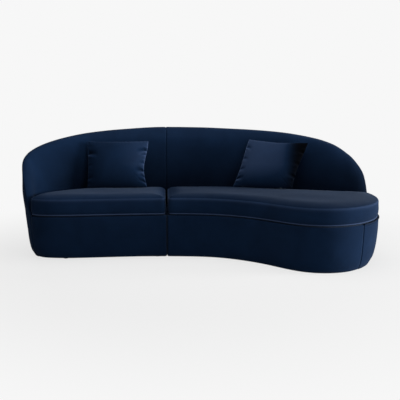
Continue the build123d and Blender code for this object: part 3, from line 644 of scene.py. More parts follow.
def cut_lower(node, body, finish):
    """A copy of a board of the back, cut off just under the padded edge."""
    mesh = nodes[node].data.copy()
    mesh.name = node + "_cut"
    made = bmesh.new()
    made.from_mesh(mesh)
    bmesh.ops.remove_doubles(made, verts=made.verts, dist=0.00001)
    sections = {}
    for point in made.verts:
        spot = np.array(point.co[:2])
        near = int(np.argmin(np.linalg.norm(waist[:-1] - spot, axis=1)))
        share = run[near] + (1 if run[near] < 0.1 else 0)
        if near not in sections:
            rows, _, edge = shell_section(share)
            inner = rows[edge + 4:]
            sections[near] = inner[inner[:, 1] > base_top][::-1]
        place, way = on_waist(share)
        reach = (spot - place) @ turned(way)
        inner = sections[near]
        padded = np.interp(reach, inner[:, 0], inner[:, 1])
        point.co.z = min(point.co.z, padded - padding_over_boards)
    made.to_mesh(mesh)
    made.free()
    piece = new_object(node + "_cut", mesh)
    mesh.materials.clear()
    mesh.materials.append(finish)
    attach(piece, body)
    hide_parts(node)


for side in sides:
    for name, finish in (("top_rail", plywood), ("back_board", plywood), ("back_liner", card)):
        cut_lower(side + "_" + name, side + "_module", finish)

# Front of the base: velvet over thin wadding and bent plywood, pulled tight round the front
# and the flat side in the join, and stapled under the frame. Its ends are sewn to the outer
# panel, and its upper edge is turned in under the seat cushion.
corner_radius, corner_depth = 0.012, 0.045
# In the join the band ends this far behind the outer panel's edge.
overlap_behind = 0.047


def round_corner(before, corner, after, t):
    """A place on the curve that rounds a corner, at a share of its way."""
    return (1 - t) ** 2 * before + 2 * t * (1 - t) * corner + t * t * after


def base_loop(side, height, tuck):
    """Places along one module's band from its seam to the back of the join, at a height."""
    reach_of = lambda share: -(float(base_inset(height, share)) + tuck)
    gap = touch + max(tuck, 0.0)
    front = meet_join(side, front_join_share, reach_of, gap)
    back = meet_join(side, back_join_share, reach_of, gap)
    end = shell_end[side]
    if side == "left":
        shares = np.linspace(end - 1, front - corner_radius / waist_length, 110)
        roll = (shares - shares[0]) * waist_length
    else:
        shares = np.linspace(end, front + corner_radius / waist_length, 150)
        roll = (shares[0] - shares) * waist_length
    rolled = np.interp(roll, [0, 0.0012, 0.004, 0.009], [0.003, 0.0009, 0.0002, 0])
    reach = np.array([reach_of(share) for share in shares]) - rolled
    path = list(outwards(shares, reach))
    first = outwards(front, reach_of(front))
    last = outwards(back, reach_of(back))
    up = (last - first) / np.linalg.norm(last - first)
    before_corner = path[-1]
    for t in np.linspace(0, 1, 9)[1:]:
        path.append(round_corner(before_corner, first, first + up * corner_depth, t))
    # The padded side meets its neighbour, and ends behind the outer panel's flap.
    length = np.linalg.norm(last - first) - corner_depth - overlap_behind
    for t in np.linspace(0, 1, 46)[1:]:
        spot = first + up * (corner_depth + length * t)
        ease_in = min(1.0, t / 0.08) * min(1.0, (1 - t) / 0.05)
        under = 0.003 * max(0.0, 1 - (1 - t) / 0.03)
        path.append(spot + join_normal * (press(spot) * ease_in + facing[side] * under))
    return np.array(path)


def at_height(places, z):
    """Places seen from above, put at one height or each at its own."""
    return np.column_stack([places, np.broadcast_to(z, len(places))])


def add_band(side):
    """The band of one module's base, from its bottom hem to the edge under the cushion."""
    rolled_high, rolled_deep = 0.012, 0.010
    levels = [(hem_height + 0.0025, 0.030), (hem_height + 0.0006, 0.012), (hem_height, 0.004)]
    levels += [(z, 0.0) for z in np.linspace(hem_height + 0.002, base_top - rolled_high, 24)]
    for angle in np.radians([15, 30, 45, 60, 75, 90]):
        levels.append((base_top - rolled_high + rolled_high * np.sin(angle),
                       rolled_deep * (1 - np.cos(angle))))
    levels += [(base_top, 0.018), (base_top, 0.030), (base_top - 0.0006, 0.048),
               (base_top - 0.0016, 0.060), (base_top - 0.003, 0.064)]
    grid = np.array([at_height(base_loop(side, z, tuck), z) for z, tuck in levels])
    grid = grid.transpose(1, 0, 2)
    line = grid[:, 10, :2]
    out = np.roll(line, -1, axis=0) - line
    out[-1] = out[-2]
    out = turned(out) * (1 if side == "left" else -1)
    out /= np.linalg.norm(out, axis=1, keepdims=True) + 1e-9
    height_fade = np.array([np.interp(z, [hem_height, 0.06, 0.24, base_top - rolled_high],
                                      [0, 1, 1, 0]) if tuck == 0 else 0 for z, tuck in levels])
    front_only = np.interp(np.arange(len(line)), [0, 12, len(line) - 75, len(line) - 60],
                           [0, 1, 1, 0])
    swell = ripple(grid, size=0.20, depth=0.0011) * height_fade[None, :] * front_only[:, None]
    grid[:, :, :2] += out[:, None, :] * swell[..., None]
    grid[:, :, 2] -= hang(grid)
    piece = add_grid(side + "_front_band", grid if side == "left" else grid[::-1],
                     side + "_module", 1.0)
    make_cloth(piece)
    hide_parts(side + "_base_cover", side + "_base_padding")


for side in sides:
    add_band(side)

# Turned-in edge of the outer panel at the end of the chaise: a strip of the same velvet,
# stapled flat on the seat ring under the end of the cushion.
strip_shares = np.linspace(shell_end["right"] - 0.0015, 0.5420, 80)
strip_rows = [(-0.0070, base_top - 0.0010), (-0.0140, base_top - 0.0004),
              (-0.0300, base_top - 0.0004), (-0.0480, base_top - 0.0010),
              (-0.0640, base_top - 0.0030)]
strip = np.array([at_height(outwards(strip_shares, reach), z) for reach, z in strip_rows])
end_flap = add_grid("right_end_flap", strip.transpose(1, 0, 2), "right_module", 1.0)
make_cloth(end_flap)

# Seat cushions: a foam block in a velvet cover with a crowned top, a boxing band sewn to it
# at the upper edge, and a thin round piping sewn into the lower edge. Each lies loose on the
# base and follows the curve of the back behind it.
cushion_middle = {"left": np.array([-0.53, 0.15]) * half_size,
                  "right": np.array([0.37, 0.04]) * half_size}
behind_cushion, beside_cushion = 0.009, 0.0118


def seat_reach(side, share):
    """How far the cushion's edge lies inside the outline, free of the back behind it."""
    if side == "left":
        place = share % 1
        beyond = (place - 0.0190) * waist_length if place < 0.5 else -1.0
        at = place + 1 if place < 0.5 else place
        widest = back_depth * 0.18 + behind_cushion
    else:
        place = share
        beyond = (0.5380 - place) * waist_length
        at = place
        widest = back_depth * 0.22 + behind_cushion
    if beyond <= 0:
        return back_depth * float(ease(shell_rows[:, (0, 2)], at)) + behind_cushion
    least = 0.002 + 0.009 * float(np.interp(place, [0.34, 0.41, 0.52, 0.5380], [0, 1, 1, 0.6]))
    return least + (widest - least) * max(0.0, 1 - beyond / 0.040)


def seat_loop(side, extra, count, side_count):
    """Places round a seat cushion, a distance inside its edge."""
    reach_of = lambda share: -(seat_reach(side, share) + extra)
    gap = beside_cushion + extra
    front = meet_join(side, front_join_share, reach_of, gap)
    back = meet_join(side, back_join_share, reach_of, gap)
    radius = 0.030
    start, end = (back, front + 1) if side == "left" else (front, back)
    shares = np.linspace(start, end, count * 4)
    line = np.array([outwards(s, reach_of(s)) for s in shares])
    # A running mean rounds the step where the back ends.
    for _ in range(2):
        line[2:-2] = (line[:-4] + line[1:-3] + line[2:-2] + line[3:-1] + line[4:]) / 5
    steps = np.concatenate([[0], np.cumsum(np.linalg.norm(np.diff(line, axis=0), axis=1))])
    marks = np.linspace(radius, steps[-1] - radius, count)
    path = list(np.stack([np.interp(marks, steps, line[:, i]) for i in (0, 1)], -1))
    first, last = line[0], line[-1]
    up = (first - last) / np.linalg.norm(first - last)
    for corner, before, after in ((last, path[-1], last + up * radius),
                                  (first, first - up * radius, path[0])):
        for t in np.linspace(0, 1, 10)[1:-1]:
            path.append(round_corner(before, corner, after, t))
        if corner is last:
            for t in np.linspace(0.0, 1.0, side_count):
                path.append(last + up * radius + (first - last - 2 * up * radius) * t)
    return np.array(path)


def edge_distance(spots, ring):
    """Distance of places to the nearest point of a ring."""
    out = np.empty(len(spots))
    for i in range(0, len(spots), 2000):
        part = spots[i:i + 2000]
        gaps = np.linalg.norm(part[:, None, :] - ring[None, :, :], axis=2)
        out[i:i + 2000] = gaps.min(axis=1)
    return out


def out_of(ring):
    """Directions out of a ring at each of its points."""
    way = turned(np.roll(ring, -1, axis=0) - np.roll(ring, 1, axis=0))
    return way / np.linalg.norm(way, axis=1, keepdims=True)


def shrink(ring, by):
    """A ring moved inwards and evened out, so that its points don't cross at corners."""
    ring = ring - out_of(ring) * by
    for _ in range(8):
        ring = (np.roll(ring, 1, axis=0) + 2 * ring + np.roll(ring, -1, axis=0)) / 4
    return ring


# Boxing band: sewn in at the piping, swelling above it, with a lip under the top seam.
# Heights above the base, and ways out from the cushion's edge.
boxing = [(0.0100, -0.0075), (0.0120, -0.0050), (0.0150, -0.0025), (0.0200, 0.0005),
          (0.0300, 0.0036), (0.0360, 0.0046), (0.0390, 0.0050), (0.0420, 0.0053),
          (0.0480, 0.0056), (0.0540, 0.0058), (0.0600, 0.0058), (0.0640, 0.0057),
          (0.0670, 0.0055), (0.0750, 0.0050), (0.0850, 0.0043), (0.0930, 0.0040),
          (0.1000, 0.0040), (0.1050, 0.0040), (0.1090, 0.0036), (0.1120, 0.0028),
          (0.1145, 0.0014), (0.1162, -0.0006), (0.1172, -0.0032)]
seam_inset = 0.0046


def seat_sides(ring, middle):
    """Rows of a cushion's underside, out to the piping, and of its boxing band."""
    normal, low = out_of(ring), base_top + 0.0006
    # The underside lies flat on the base and is lifted round its edge to the piping.
    rows = [at_height(middle + (ring - middle) * t, low + lift)
            for t, lift in ((0.04, 0), (0.3, 0), (0.6, 0), (0.85, 0), (0.93, 0.001))]
    rows += [at_height(ring - normal * d, low + lift)
             for d, lift in ((0.020, 0.004), (0.012, 0.0075))]
    # In the join the band is sewn flat on both sides of the zip, which stays in sight.
    behind = (ring - join_front) @ join_along
    beside = np.abs(past_join(ring)) < 0.0135
    zipped = beside * np.interp(behind, [0.036, 0.043, 0.440, 0.450], [0, 1, 1, 0])
    for up, swell in boxing:
        flat = zipped * np.interp(up, [0.0360, 0.0400, 0.0640, 0.0680], [0, 1, 1, 0])
        rows.append(at_height(ring + normal * (swell * (1 - flat))[:, None], base_top + up))
    return rows


def crown(spots, ring):
    """A row of a cushion's top, as high as its distance from the seam gives."""
    wide = 0.105 + 0.035 * np.interp(spots[:, 0], [0.15, 0.60], [0, 1])
    away = np.clip((edge_distance(spots, ring) - seam_inset) / wide, 0, 1)
    rise = crown_height - seam_height
    return at_height(spots, seam_height + rise * (1 - (1 - away) ** 2.4) ** 0.80)


def seat_top(ring, middle):
    """Rows of a crowned top, nearly upright at the seam and nearly level in the middle."""
    normal, inner = out_of(ring), ring
    rows = [at_height(ring - normal * seam_inset, seam_height - 0.0012)]
    for step in (0.0050, 0.0006, 0.0012, 0.0022, 0.003, 0.004, 0.005, 0.006, 0.006, 0.006,
                 0.007, 0.007, 0.008, 0.008, 0.008, 0.008):
        inner = shrink(inner, step) if step >= 0.004 and inner is not ring \
            else inner - normal * step
        rows.append(crown(inner, ring))
    for fade in np.linspace(0.05, 0.96, 17):
        rows.append(crown(middle + (inner - middle) * (1 - fade), ring))
    return rows


def add_seat(side):
    """One seat cushion."""
    ring = seat_loop(side, 0.0, 260 if side == "left" else 380, 40)
    below = seat_sides(ring, cushion_middle[side])
    seam_at = len(below)
    grid = np.array(below + seat_top(ring, cushion_middle[side])).transpose(1, 0, 2)
    row = np.arange(grid.shape[1])
    top_rows = np.clip((row - seam_at - 4) / 8, 0, 1)
    swell = ripple(grid, size=0.14, depth=0.0022)
    grid[:, :, 2] += swell * top_rows[None, :] - 0.0015 * top_rows[None, :]
    # Painted highlight: the lip under the top seam is drawn lighter.
    tones = 1 + 0.35 * np.exp(-(np.abs(row - (seam_at - 4)) / 2.5) ** 2)
    if side == "right":
        # One upright seam closes the boxing band, at the end of the chaise.
        along = np.linalg.norm(ring - outwards(0.4080, -0.002), axis=1)
        dip = out_of(ring) * groove(along, 0.0045, 0.0016)[:, None]
        in_band = (row >= seam_at - len(boxing)) & (row < seam_at)
        grid[:, :, :2] -= dip[:, None, :] * in_band[None, :, None]
        # Painted shade: this cushion's top is drawn a little darker.
        tones *= np.interp(row, [seam_at, seam_at + 4], [1, 0.74])
    piece = add_grid(side + "_seat_cushion_top", grid, side + "_seat_cushion",
                     tones[None, :], closed_round=True, close_ends=True)
    settle(piece, velvet)
    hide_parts(side + "_seat_cover", side + "_seat_foam")


for side in sides:
    add_seat(side)

# Piping along the lower edge of each seat cushion: a cord in a bias strip of the same
# velvet, sewn into the seam. It stands out a little and catches the light.


def start_path_tree(name, sizes, finish, result):
    """A node tree that is given a path, sizes and a finish, and the path as a curve."""
    tree = bpy.data.node_groups.new(name, "GeometryNodeTree")
    given = [("Path", "Geometry"), *((size, "Float") for size in sizes), (finish, "Material")]
    for label, kind in given:
        tree.interface.new_socket(label, in_out="INPUT", socket_type="NodeSocket" + kind)
    tree.interface.new_socket(result, in_out="OUTPUT", socket_type="NodeSocketGeometry")
    inputs = add_node(tree, "NodeGroupInput").outputs
    line = add_node(tree, "GeometryNodeMeshToCurve", {"Mesh": inputs["Path"]})
    return tree, inputs, line.outputs["Curve"]


def end_path_tree(tree, shape, finish, result):
    """Makes the shape real, gives it its finish and passes it out."""
    whole = add_node(tree, "GeometryNodeRealizeInstances", {"Geometry": shape})
    dressed = add_node(tree, "GeometryNodeSetMaterial",
                       {"Geometry": whole.outputs["Geometry"], "Material": finish})
    add_node(tree, "NodeGroupOutput", {result: dressed.outputs["Geometry"]})


def piping_tree():
    """Nodes that turn a closed path into a round cord."""
    tree, inputs, line = start_path_tree("seat_piping", ("Radius", "Pitch"), "Cloth", "Cord")
    even = add_node(tree, "GeometryNodeResampleCurve", {"Curve": line, "Length": inputs["Pitch"]},
                    mode="LENGTH")
    ring = add_node(tree, "GeometryNodeCurvePrimitiveCircle", {"Resolution": 12,
                                                               "Radius": inputs["Radius"]})
    cord = add_node(tree, "GeometryNodeCurveToMesh", {"Curve": even.outputs["Curve"],
                                                      "Profile Curve": ring.outputs["Curve"]})
    end_path_tree(tree, cord.outputs["Mesh"], inputs["Cloth"], "Cord")
    return tree


def run_tree(name, tree, start, body, values):
    """Runs a node tree on a path's mesh and keeps the result as a plain piece."""
    holder = new_object(name, start)
    maker = holder.modifiers.new("maker", "NODES")
    maker.node_group = tree
    for socket in tree.interface.items_tree:
        if socket.in_out == "INPUT" and socket.name in values:
            maker[socket.identifier] = values[socket.name]
    holder.data = shaped_mesh(holder)
    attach(holder, body)
    return holder


def path_mesh(name, spots, closed):
    """A path as a mesh of edges."""
    mesh = bpy.data.meshes.new(name)
    links = [(i, i + 1) for i in range(len(spots) - 1)]
    if closed:
        links.append((len(spots) - 1, 0))
    mesh.from_pydata([tuple(p) for p in spots], links, [])
    return mesh


piping = piping_tree()
piping_height, piping_inset = 0.0110, {"left": 0.0010, "right": 0.0030}
# Painted highlight: the cord is drawn lighter and greyer than the rest of the velvet.
piping_highlight = 2.2
for side in sides:
    path = at_height(seat_loop(side, piping_inset[side], 420, 44), base_top + piping_height)
    piece = run_tree(side + "_seat_piping", piping, path_mesh(side + "_piping", path, True),
                     side + "_seat_cushion", {"Radius": 0.0034, "Pitch": 0.009, "Cloth": velvet})
    piece.data.polygons.foreach_set("use_smooth", [True] * len(piece.data.polygons))
    set_painted_light(piece, np.full(len(piece.data.vertices), piping_highlight))
    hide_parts(side + "_seat_welt")

# Throw cushions: two velvet squares sewn edge to edge and filled with fibre, with soft ears
# at the corners. They lean on the back, and the filling pulls the side seams into puckers.
throws = {
    "left": {"foot": np.array([-0.48335, 0.3839]) * half_size, "turn": 4.0, "tilt": 23.0,
             "skew": 0.0, "drawn": (0.006, 0.034), "raised": 0.0},
    "right": {"foot": np.array([0.3655, 0.3637]) * half_size, "turn": -18.0, "tilt": 25.0,
              "skew": 0.22, "drawn": (0.010, 0.014), "raised": 0.016},
}
throw_width, throw_height, throw_depth = 0.440, 0.350, 0.100
fold_depth, gather_depth = 0.018, 0.0016
# Folds that run in from the side seams: side, place up it, half width and length as shares
# of half the cushion, and depth as a share of fold_depth.
folds = {
    "left": [(1, 0.60, 0.080, 0.42, 1.0), (1, 0.40, 0.050, 0.26, 0.7),
             (1, 0.02, 0.055, 0.28, 0.6), (1, -0.32, 0.075, 0.46, 1.1),
             (1, -0.58, 0.045, 0.26, 0.7), (1, -0.80, 0.055, 0.34, 0.9),
             (-1, 0.46, 0.085, 0.36, 1.0), (-1, -0.08, 0.060, 0.20, 0.3),
             (-1, -0.62, 0.070, 0.24, 0.4)],
    "right": [(-1, 0.70, 0.055, 0.26, 0.6), (-1, 0.22, 0.060, 0.24, 0.5),
              (-1, -0.25, 0.060, 0.26, 0.6), (-1, -0.68, 0.060, 0.30, 0.8),
              (1, 0.58, 0.070, 0.34, 0.8), (1, 0.05, 0.070, 0.30, 0.7),
              (1, -0.50, 0.070, 0.34, 0.8)],
}
# Steps of the cloth simulation, and the furthest that it may move the plain form.
cloth_steps, most_swell = 20, 0.008


def swell_throw(piece, rim, start):
    """Blows a throw cushion up as cloth with its seams held, and returns where it moved."""
    held = piece.vertex_groups.new(name="seam")
    held.add(rim, 1.0, "ADD")
    # A thin soft cloth without weight, and a filling that presses outwards.
    cloth = piece.modifiers.new("swell", "CLOTH")
    for name, value in (("quality", 6), ("mass", 0.25), ("tension_stiffness", 12),
                        ("compression_stiffness", 12), ("bending_stiffness", 0.4),
                        ("use_pressure", True), ("uniform_pressure_force", 5.0),
                        ("vertex_group_mass", "seam"), ("pin_stiffness", 0.6)):
        setattr(cloth.settings, name, value)
    cloth.settings.effector_weights.gravity = 0
    cloth.collision_settings.use_collision = False
    cloth.point_cache.frame_start, cloth.point_cache.frame_end = 1, cloth_steps
    for step in range(1, cloth_steps + 1):
        bpy.context.scene.frame_set(step)
    made = shaped_mesh(piece)
    flat = np.zeros(len(made.vertices) * 3)
    made.vertices.foreach_get("co", flat)
    bpy.data.meshes.remove(made)
    piece.vertex_groups.clear()
    bpy.context.scene.frame_set(1)
    move = flat.reshape(-1, 3) - start
    reach = np.linalg.norm(move, axis=1, keepdims=True)
    return start + move * np.minimum(1, most_swell / np.maximum(reach, 1e-9))


def throw_form(drawn_in):
    """Plain form of a throw cushion: its points, their shares across and up it from the
    middle to the seams, its faces and the points of its rim."""
    wide, tall = 96, 76
    spots, shares, index, faces = [], [], {}, []
    for face in (1, -1):
        for i in range(wide + 1):
            for j in range(tall + 1):
                if face == -1 and (i in (0, wide) or j in (0, tall)):
                    index[face, i, j] = index[1, i, j]
                    continue
                # Rows and columns lie closer together near the seams.
                u, v = (np.sin(np.pi / 2 * t) * 0.6 + t * 0.4
                        for t in (2 * i / wide - 1, 2 * j / tall - 1))
                drawn = drawn_in[1 if u > 0 else 0]
                lift = 0.5 + 0.5 * np.cos(np.pi * np.clip((v + 0.25) / 1.25, -1, 1))
                x = u * throw_width / 2 - np.sign(u) * drawn * lift * abs(u) ** 3
                y = (v + 1) * throw_height / 2 - 0.004 * (1 - u * u) * max(v, 0) ** 2
                # It is fuller low down, where the filling settles.
                full = 2.2 if v > 0 else 3.8
                thick = 0.40 * throw_depth * ((1 - abs(u) ** 2.6) * (1 - abs(v) ** full)) ** 0.62
                index[face, i, j] = len(spots)
                spots.append((x, y, face * thick))
                shares.append((u, v))
    for face in (1, -1):
        for i in range(wide):
            for j in range(tall):
                quad = (index[face, i, j], index[face, i + 1, j],
                        index[face, i + 1, j + 1], index[face, i, j + 1])
                faces.append(quad if face == 1 else quad[::-1])
    rim = [index[1, i, j] for i in range(wide + 1) for j in range(tall + 1)
           if i in (0, wide) or j in (0, tall)]
    return spots, shares, faces, rim


def fold_throw(spots, u, v, side):
    """Sinks the folds and gathers into a throw cushion, and returns their painted highlight and shade.
    """
    half = np.abs(spots[:, 2])
    way_out = np.where(spots[:, 2] >= 0, 1, -1)
    # Folds run in from the side seams and fade within a hand's breadth.
    sunk, painted_fold_light = np.zeros(len(spots)), np.zeros(len(spots))
    for way, at, width, length, depth in folds[side]:
        inwards = np.clip((1 - way * u) / length, 0, 1)
        line = at * (1 - 0.12 * inwards) + 0.10 * inwards * (1 - inwards)
        fade = np.clip(inwards / 0.10, 0.25, 1) * (1 - inwards) ** 1.1
        across = (v - line) / (width * (0.75 + 0.6 * inwards))
        ridge = np.exp(-(across + 1.7) ** 2 * 0.7)
        sunk += depth * (np.exp(-across ** 2) - 0.55 * ridge) * fade
        painted_fold_light += depth * (0.75 * ridge - np.exp(-across ** 2)) * fade
    spots[:, 2] -= way_out * np.minimum(fold_depth * sunk, half * 0.85)
    # The cloth gathers in short folds along the seams.
    gather = np.sin(41 * v + 2.1 * np.sin(5 * v)) * np.clip(np.abs(u) - 0.84, 0, 0.16) / 0.16
    gather += 0.5 * np.sin(47 * u + 1.7 * np.sin(6 * u)) * np.clip(v - 0.84, 0, 0.16) / 0.16
    spots[:, 2] += way_out * np.clip(gather_depth * gather, -half * 0.5, half * 0.5)
    return painted_fold_light


def throw_tone(u, v, painted_fold_light, side):
    """Painted light and shade on a throw cushion."""
    # Painted highlights on the seams and fold ridges, painted shade in the fold hollows and low on the
    # cushion, and more light towards its right side.
    seam = np.maximum(np.abs(u) ** 40, 0.5 * np.abs(v) ** 40)
    tone = (1 + 0.9 * seam) * (0.45 + 0.55 * np.clip((v + 1.15) / 1.1, 0, 1))
    tone = tone * (1 + 0.28 * u) + np.clip(0.85 * painted_fold_light, -0.8 * tone, 1.2)
    if side == "right":
        # Painted shade: the right third is drawn almost black.
        dark = 1 / (1 + np.exp(-(u - 0.42 - 0.20 * (1 - v)) * 13))
        tone = tone * (1 - 0.5 * u * (1 - dark)) * (1.42 - 1.40 * dark)
    return tone


def add_throw(side):
    """One throw cushion, swelled by a cloth simulation and then puckered at its seams."""
    facts = throws[side]
    spots, shares, faces, rim = throw_form(facts["drawn"])
    mesh = bpy.data.meshes.new(side + "_throw_cushion_cover")
    mesh.from_pydata(spots, [], faces)
    mesh.update()
    piece = new_object(side + "_throw_cushion_cover", mesh)
    spots = np.array(spots)
    u, v = np.array(shares).T
    spots = swell_throw(piece, rim, spots)
    painted_fold_light = fold_throw(spots, u, v, side)
    spots[:, 1] += facts["raised"] * np.clip(-u, 0, 1) * np.clip(v, 0, 1) ** 2
    spots[:, 0] += facts["skew"] * spots[:, 1]
    # It is turned a little and leans on the back.
    turn, tilt = np.radians(facts["turn"]), np.radians(facts["tilt"])
    right = np.array([np.cos(turn), np.sin(turn), 0])
    up = np.array([-np.sin(turn) * np.sin(tilt), np.cos(turn) * np.sin(tilt), np.cos(tilt)])
    front = np.cross(right, up)
    foot = np.array([*facts["foot"], crown_height + 0.0012])
    spots = (foot + np.outer(spots[:, 0], right) + np.outer(spots[:, 1], up)
             + np.outer(spots[:, 2], front))
    # It rests flat on the seat cushion along its lower edge.
    spots[:, 2] = np.maximum(spots[:, 2], crown_height + 0.0006)
    piece.data.vertices.foreach_set("co", spots.ravel())
    piece.data.update()
    smooth = piece.modifiers.new("smooth", "SUBSURF")
    smooth.levels = smooth.render_levels = 1
    set_painted_light(piece, throw_tone(u, v, painted_fold_light, side))
    settle(piece, velvet)
    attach(piece, side + "_throw_cushion")
    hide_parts(side + "_throw_cover", side + "_throw_filling")


for side in sides:
    add_throw(side)

# Zips: a woven tape with a nylon coil is sewn into the hidden side of each cushion cover, and
# a coated zinc slider with a flat pull runs on it.
# The coil's ribs are drawn 3 mm apart, twice as coarse as they are, and the weave at 1.1 mm.
zip_tape, tree, skin, place = start_finish(
    "woven_zip_tape", {"Roughness": 0.7, "Specular IOR Level": 0.1})
coil = add_node(tree, "ShaderNodeTexWave", {"Vector": place, "Scale": 1 / 0.0094},
                bands_direction="DIAGONAL")
weave = add_node(tree, "ShaderNodeTexNoise", {"Vector": place, "Scale": 1 / 0.0011})
yarn = add_node(tree, "ShaderNodeMix", {"Factor": 0.5, "A": coil.outputs["Fac"],
                                        "B": weave.outputs["Fac"]}, data_type="FLOAT")
dye = add_node(tree, "ShaderNodeValToRGB", {"Fac": yarn.outputs["Result"]})
dye.color_ramp.elements[0].color = shade("#0b1420")
dye.color_ramp.elements[1].color = shade("#1d2c40")
feed(tree, skin, "Base Color", dye.outputs["Color"])
ribs = add_node(tree, "ShaderNodeBump", {"Height": yarn.outputs["Result"], "Strength": 0.5,
                                         "Distance": 0.0004})
feed(tree, skin, "Normal", ribs.outputs["Normal"])

# The dark coat is rubbed brighter in small patches.
slider_metal, tree, skin, place = start_finish(
    "coated_zinc_slider", {"Metallic": 0.8, "Base Color": shade("#2a3038")})
uneven_gloss(tree, skin, place, 0.0029, 0.28, 0.45)
for side in sides:
    dress(side + "_seat_zip", zip_tape)
    dress(side + "_throw_zip", zip_tape)
    dress(side + "_seat_slider", slider_metal)
    dress(side + "_throw_slider", slider_metal)

# Underside: a black bonded dust cover, stapled to the bottom ring close to its edge.
dust_cloth = bonded_cloth("bonded_dust_cloth", "#101012", "#1c1c20")
for side in sides:
    stretch_sheet(side + "_dust_cover", dust_cloth)

# Zinc-coated wire is mottled with the crystals of its coat.
staple_steel, tree, skin, place = start_finish(
    "galvanised_staple_wire", {"Metallic": 1.0, "Base Color": shade("#a9aaa8")})
uneven_gloss(tree, skin, place, 0.0017, 0.35, 0.6)


def staple_tree():
    """Nodes that set flat staples along a path at an even pitch."""
    tree, inputs, line = start_path_tree("dust_cover_staples", ("Pitch", "Crown", "Wire"),
                                         "Metal", "Staples")
    even = add_node(tree, "GeometryNodeCurveToPoints", {"Curve": line, "Length": inputs["Pitch"]},
                    mode="LENGTH")
    size = add_node(tree, "ShaderNodeCombineXYZ", {"X": inputs["Wire"], "Y": inputs["Wire"],
                                                   "Z": inputs["Crown"]})
    crown = add_node(tree, "GeometryNodeMeshCube", {"Size": size.outputs["Vector"]})
    lay = add_node(tree, "GeometryNodeInstanceOnPoints",
                   {"Points": even.outputs["Points"], "Instance": crown.outputs["Mesh"],
                    "Rotation": even.outputs["Rotation"]})
    end_path_tree(tree, lay.outputs["Instances"], inputs["Metal"], "Staples")
    return tree


staples = staple_tree()
staple_inset = 0.034
for side in sides:
    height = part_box(side + "_dust_cover")[0].z - 0.0003
    path = at_height(base_loop(side, foot_height, staple_inset), height)
    piece = run_tree(side + "_dust_cover_staples", staples,
                     path_mesh(side + "_staple_line", path, False), side + "_module",
                     {"Pitch": 0.045, "Crown": 0.010, "Wire": 0.0007, "Metal": staple_steel})

# Feet, screws and connectors: short black glide feet of moulded plastic under the bottom
# ring, zinc-plated screws, and black powder-coated jaws and tongues that hold the modules
# together at the join.
# Moulded plastic with a fine matt texture that hides the marks of the floor.
foot_plastic, tree, skin, place = start_finish(
    "moulded_black_plastic", {"Base Color": shade("#070708")})
fine = uneven_gloss(tree, skin, place, 0.0008, 0.60, 0.75)
texture = add_node(tree, "ShaderNodeBump", {"Height": fine.outputs["Fac"], "Strength": 0.2,
                                            "Distance": 0.0002})
feed(tree, skin, "Normal", texture.outputs["Normal"])

# Plated screws are bright, with a faint haze.
zinc, tree, skin, place = start_finish(
    "zinc_plated_steel", {"Metallic": 1.0, "Base Color": shade("#b9b6a6")})
uneven_gloss(tree, skin, place, 0.0020, 0.25, 0.42)

# Powder coat flows into a fine orange peel, with bumps 2.2 mm apart.
powder_coat, tree, skin, place = start_finish(
    "black_powder_coat", {"Base Color": shade("#141416"), "Roughness": 0.45})
peel = add_node(tree, "ShaderNodeTexNoise", {"Vector": place, "Scale": 1 / 0.0022})
orange = add_node(tree, "ShaderNodeBump", {"Height": peel.outputs["Fac"], "Strength": 0.25,
                                           "Distance": 0.0002})
feed(tree, skin, "Normal", orange.outputs["Normal"])
for side in sides:
    dress(side + "_feet", foot_plastic)
    dress(side + "_screws", zinc)
    dress(side + "_connectors", powder_coat)

# Studio: a pale seamless floor and a pale surround, with large soft lamps above, in front, to
# the right and low behind. The camera stands 4.6 m in front of the sofa, 1.1 m above the floor.


def seen_directly(tree):
    """1 for rays from the camera, also off or through a surface, and 0 for light's rays."""
    rays = add_node(tree, "ShaderNodeLightPath")
    seen = rays.outputs["Is Camera Ray"]
    for kind in ("Is Glossy Ray", "Is Transmission Ray"):
        seen = add_node(tree, "ShaderNodeMath", {0: seen, 1: rays.outputs[kind]},
                        operation="MAXIMUM").outputs["Value"]
    return seen


backdrop, tree, skin, place = start_finish(
    "pale_studio_floor", {"Base Color": shade("#c8c8c8"), "Roughness": 0.9, "Specular IOR Level": 0.1})
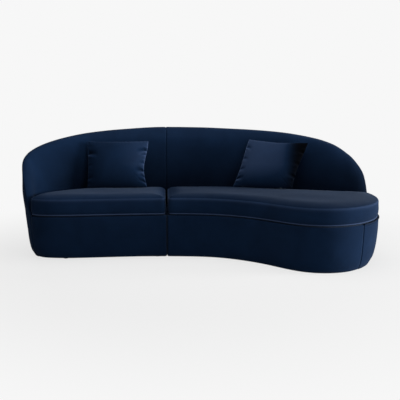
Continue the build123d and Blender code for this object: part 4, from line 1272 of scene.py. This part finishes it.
# Far from the sofa the floor runs into the surround, with no line between them.
out_from = add_node(tree, "ShaderNodeVectorMath", {0: place}, operation="LENGTH")
far = add_node(tree, "ShaderNodeMapRange", {"Value": out_from.outputs["Value"],
                                            "From Min": 1.1, "From Max": 2.6,
                                            "To Min": 0.78, "To Max": 1.0},
               interpolation_type="SMOOTHSTEP")
share = add_node(tree, "ShaderNodeMath", {0: seen_directly(tree),
                                          1: far.outputs["Result"]}, operation="MULTIPLY")
pale = add_node(tree, "ShaderNodeEmission", {"Color": shade("#f7f7f7"), "Strength": 1.0})
mix = add_node(tree, "ShaderNodeMixShader", {"Fac": share.outputs["Value"], 1: skin.outputs["BSDF"],
                                             2: pale.outputs["Emission"]})
end = [n for n in tree.nodes if n.bl_idname == "ShaderNodeOutputMaterial"][0]
tree.links.new(mix.outputs["Shader"], end.inputs["Surface"])
floor_mesh = bpy.data.meshes.new("studio_floor")
floor_mesh.from_pydata([(-40, -40, 0), (40, -40, 0), (40, 40, 0), (-40, 40, 0)], [], [(0, 1, 2, 3)])
floor = new_object("studio_floor", floor_mesh)
floor.data.materials.append(backdrop)

world = bpy.data.worlds.new("pale_surround")
scene = bpy.context.scene
scene.world = world
world.use_nodes = True
tree = world.node_tree
tree.nodes.clear()
light = add_node(tree, "ShaderNodeBackground", {"Color": shade("#ffffff"), "Strength": 0.12})
shown = add_node(tree, "ShaderNodeBackground", {"Color": shade("#f7f7f7"), "Strength": 1.0})
mix = add_node(tree, "ShaderNodeMixShader", {"Fac": seen_directly(tree),
                                             1: light.outputs["Background"],
                                             2: shown.outputs["Background"]})
add_node(tree, "ShaderNodeOutputWorld", {"Surface": mix.outputs["Shader"]})


def add_lamp(name, place, aim, size, power):
    """A square soft lamp that points at a place."""
    lamp = bpy.data.lights.new(name, "AREA")
    lamp.shape, lamp.size, lamp.energy = "SQUARE", size, power
    holder = new_object(name, lamp)
    holder.location = place
    way = Vector(aim) - Vector(place)
    holder.rotation_euler = way.to_track_quat("-Z", "Y").to_euler()


add_lamp("overhead_lamp", (0.0, -0.3, 3.2), (0, 0, 0.4), 3.0, 80)
add_lamp("right_lamp", (6.0, -0.6, 1.05), (0.2, 0, 0.4), 1.8, 560)
add_lamp("front_lamp", (3.2, -4.2, 1.8), (0, 0, 0.4), 2.0, 66)
add_lamp("rear_lamp", (-2.6, 5.0, 0.95), (0, 0.3, 0.4), 1.6, 90)

scene.view_settings.view_transform = "Standard"
camera = new_object("camera", bpy.data.cameras.new("camera"))
camera.location = (0.0, -4.617, 1.132)
looks_down = 9.189
camera.rotation_euler = (np.radians(90 - looks_down), 0, 0)
camera.data.lens = 61.2
camera.data.sensor_width = 36
scene.camera = camera
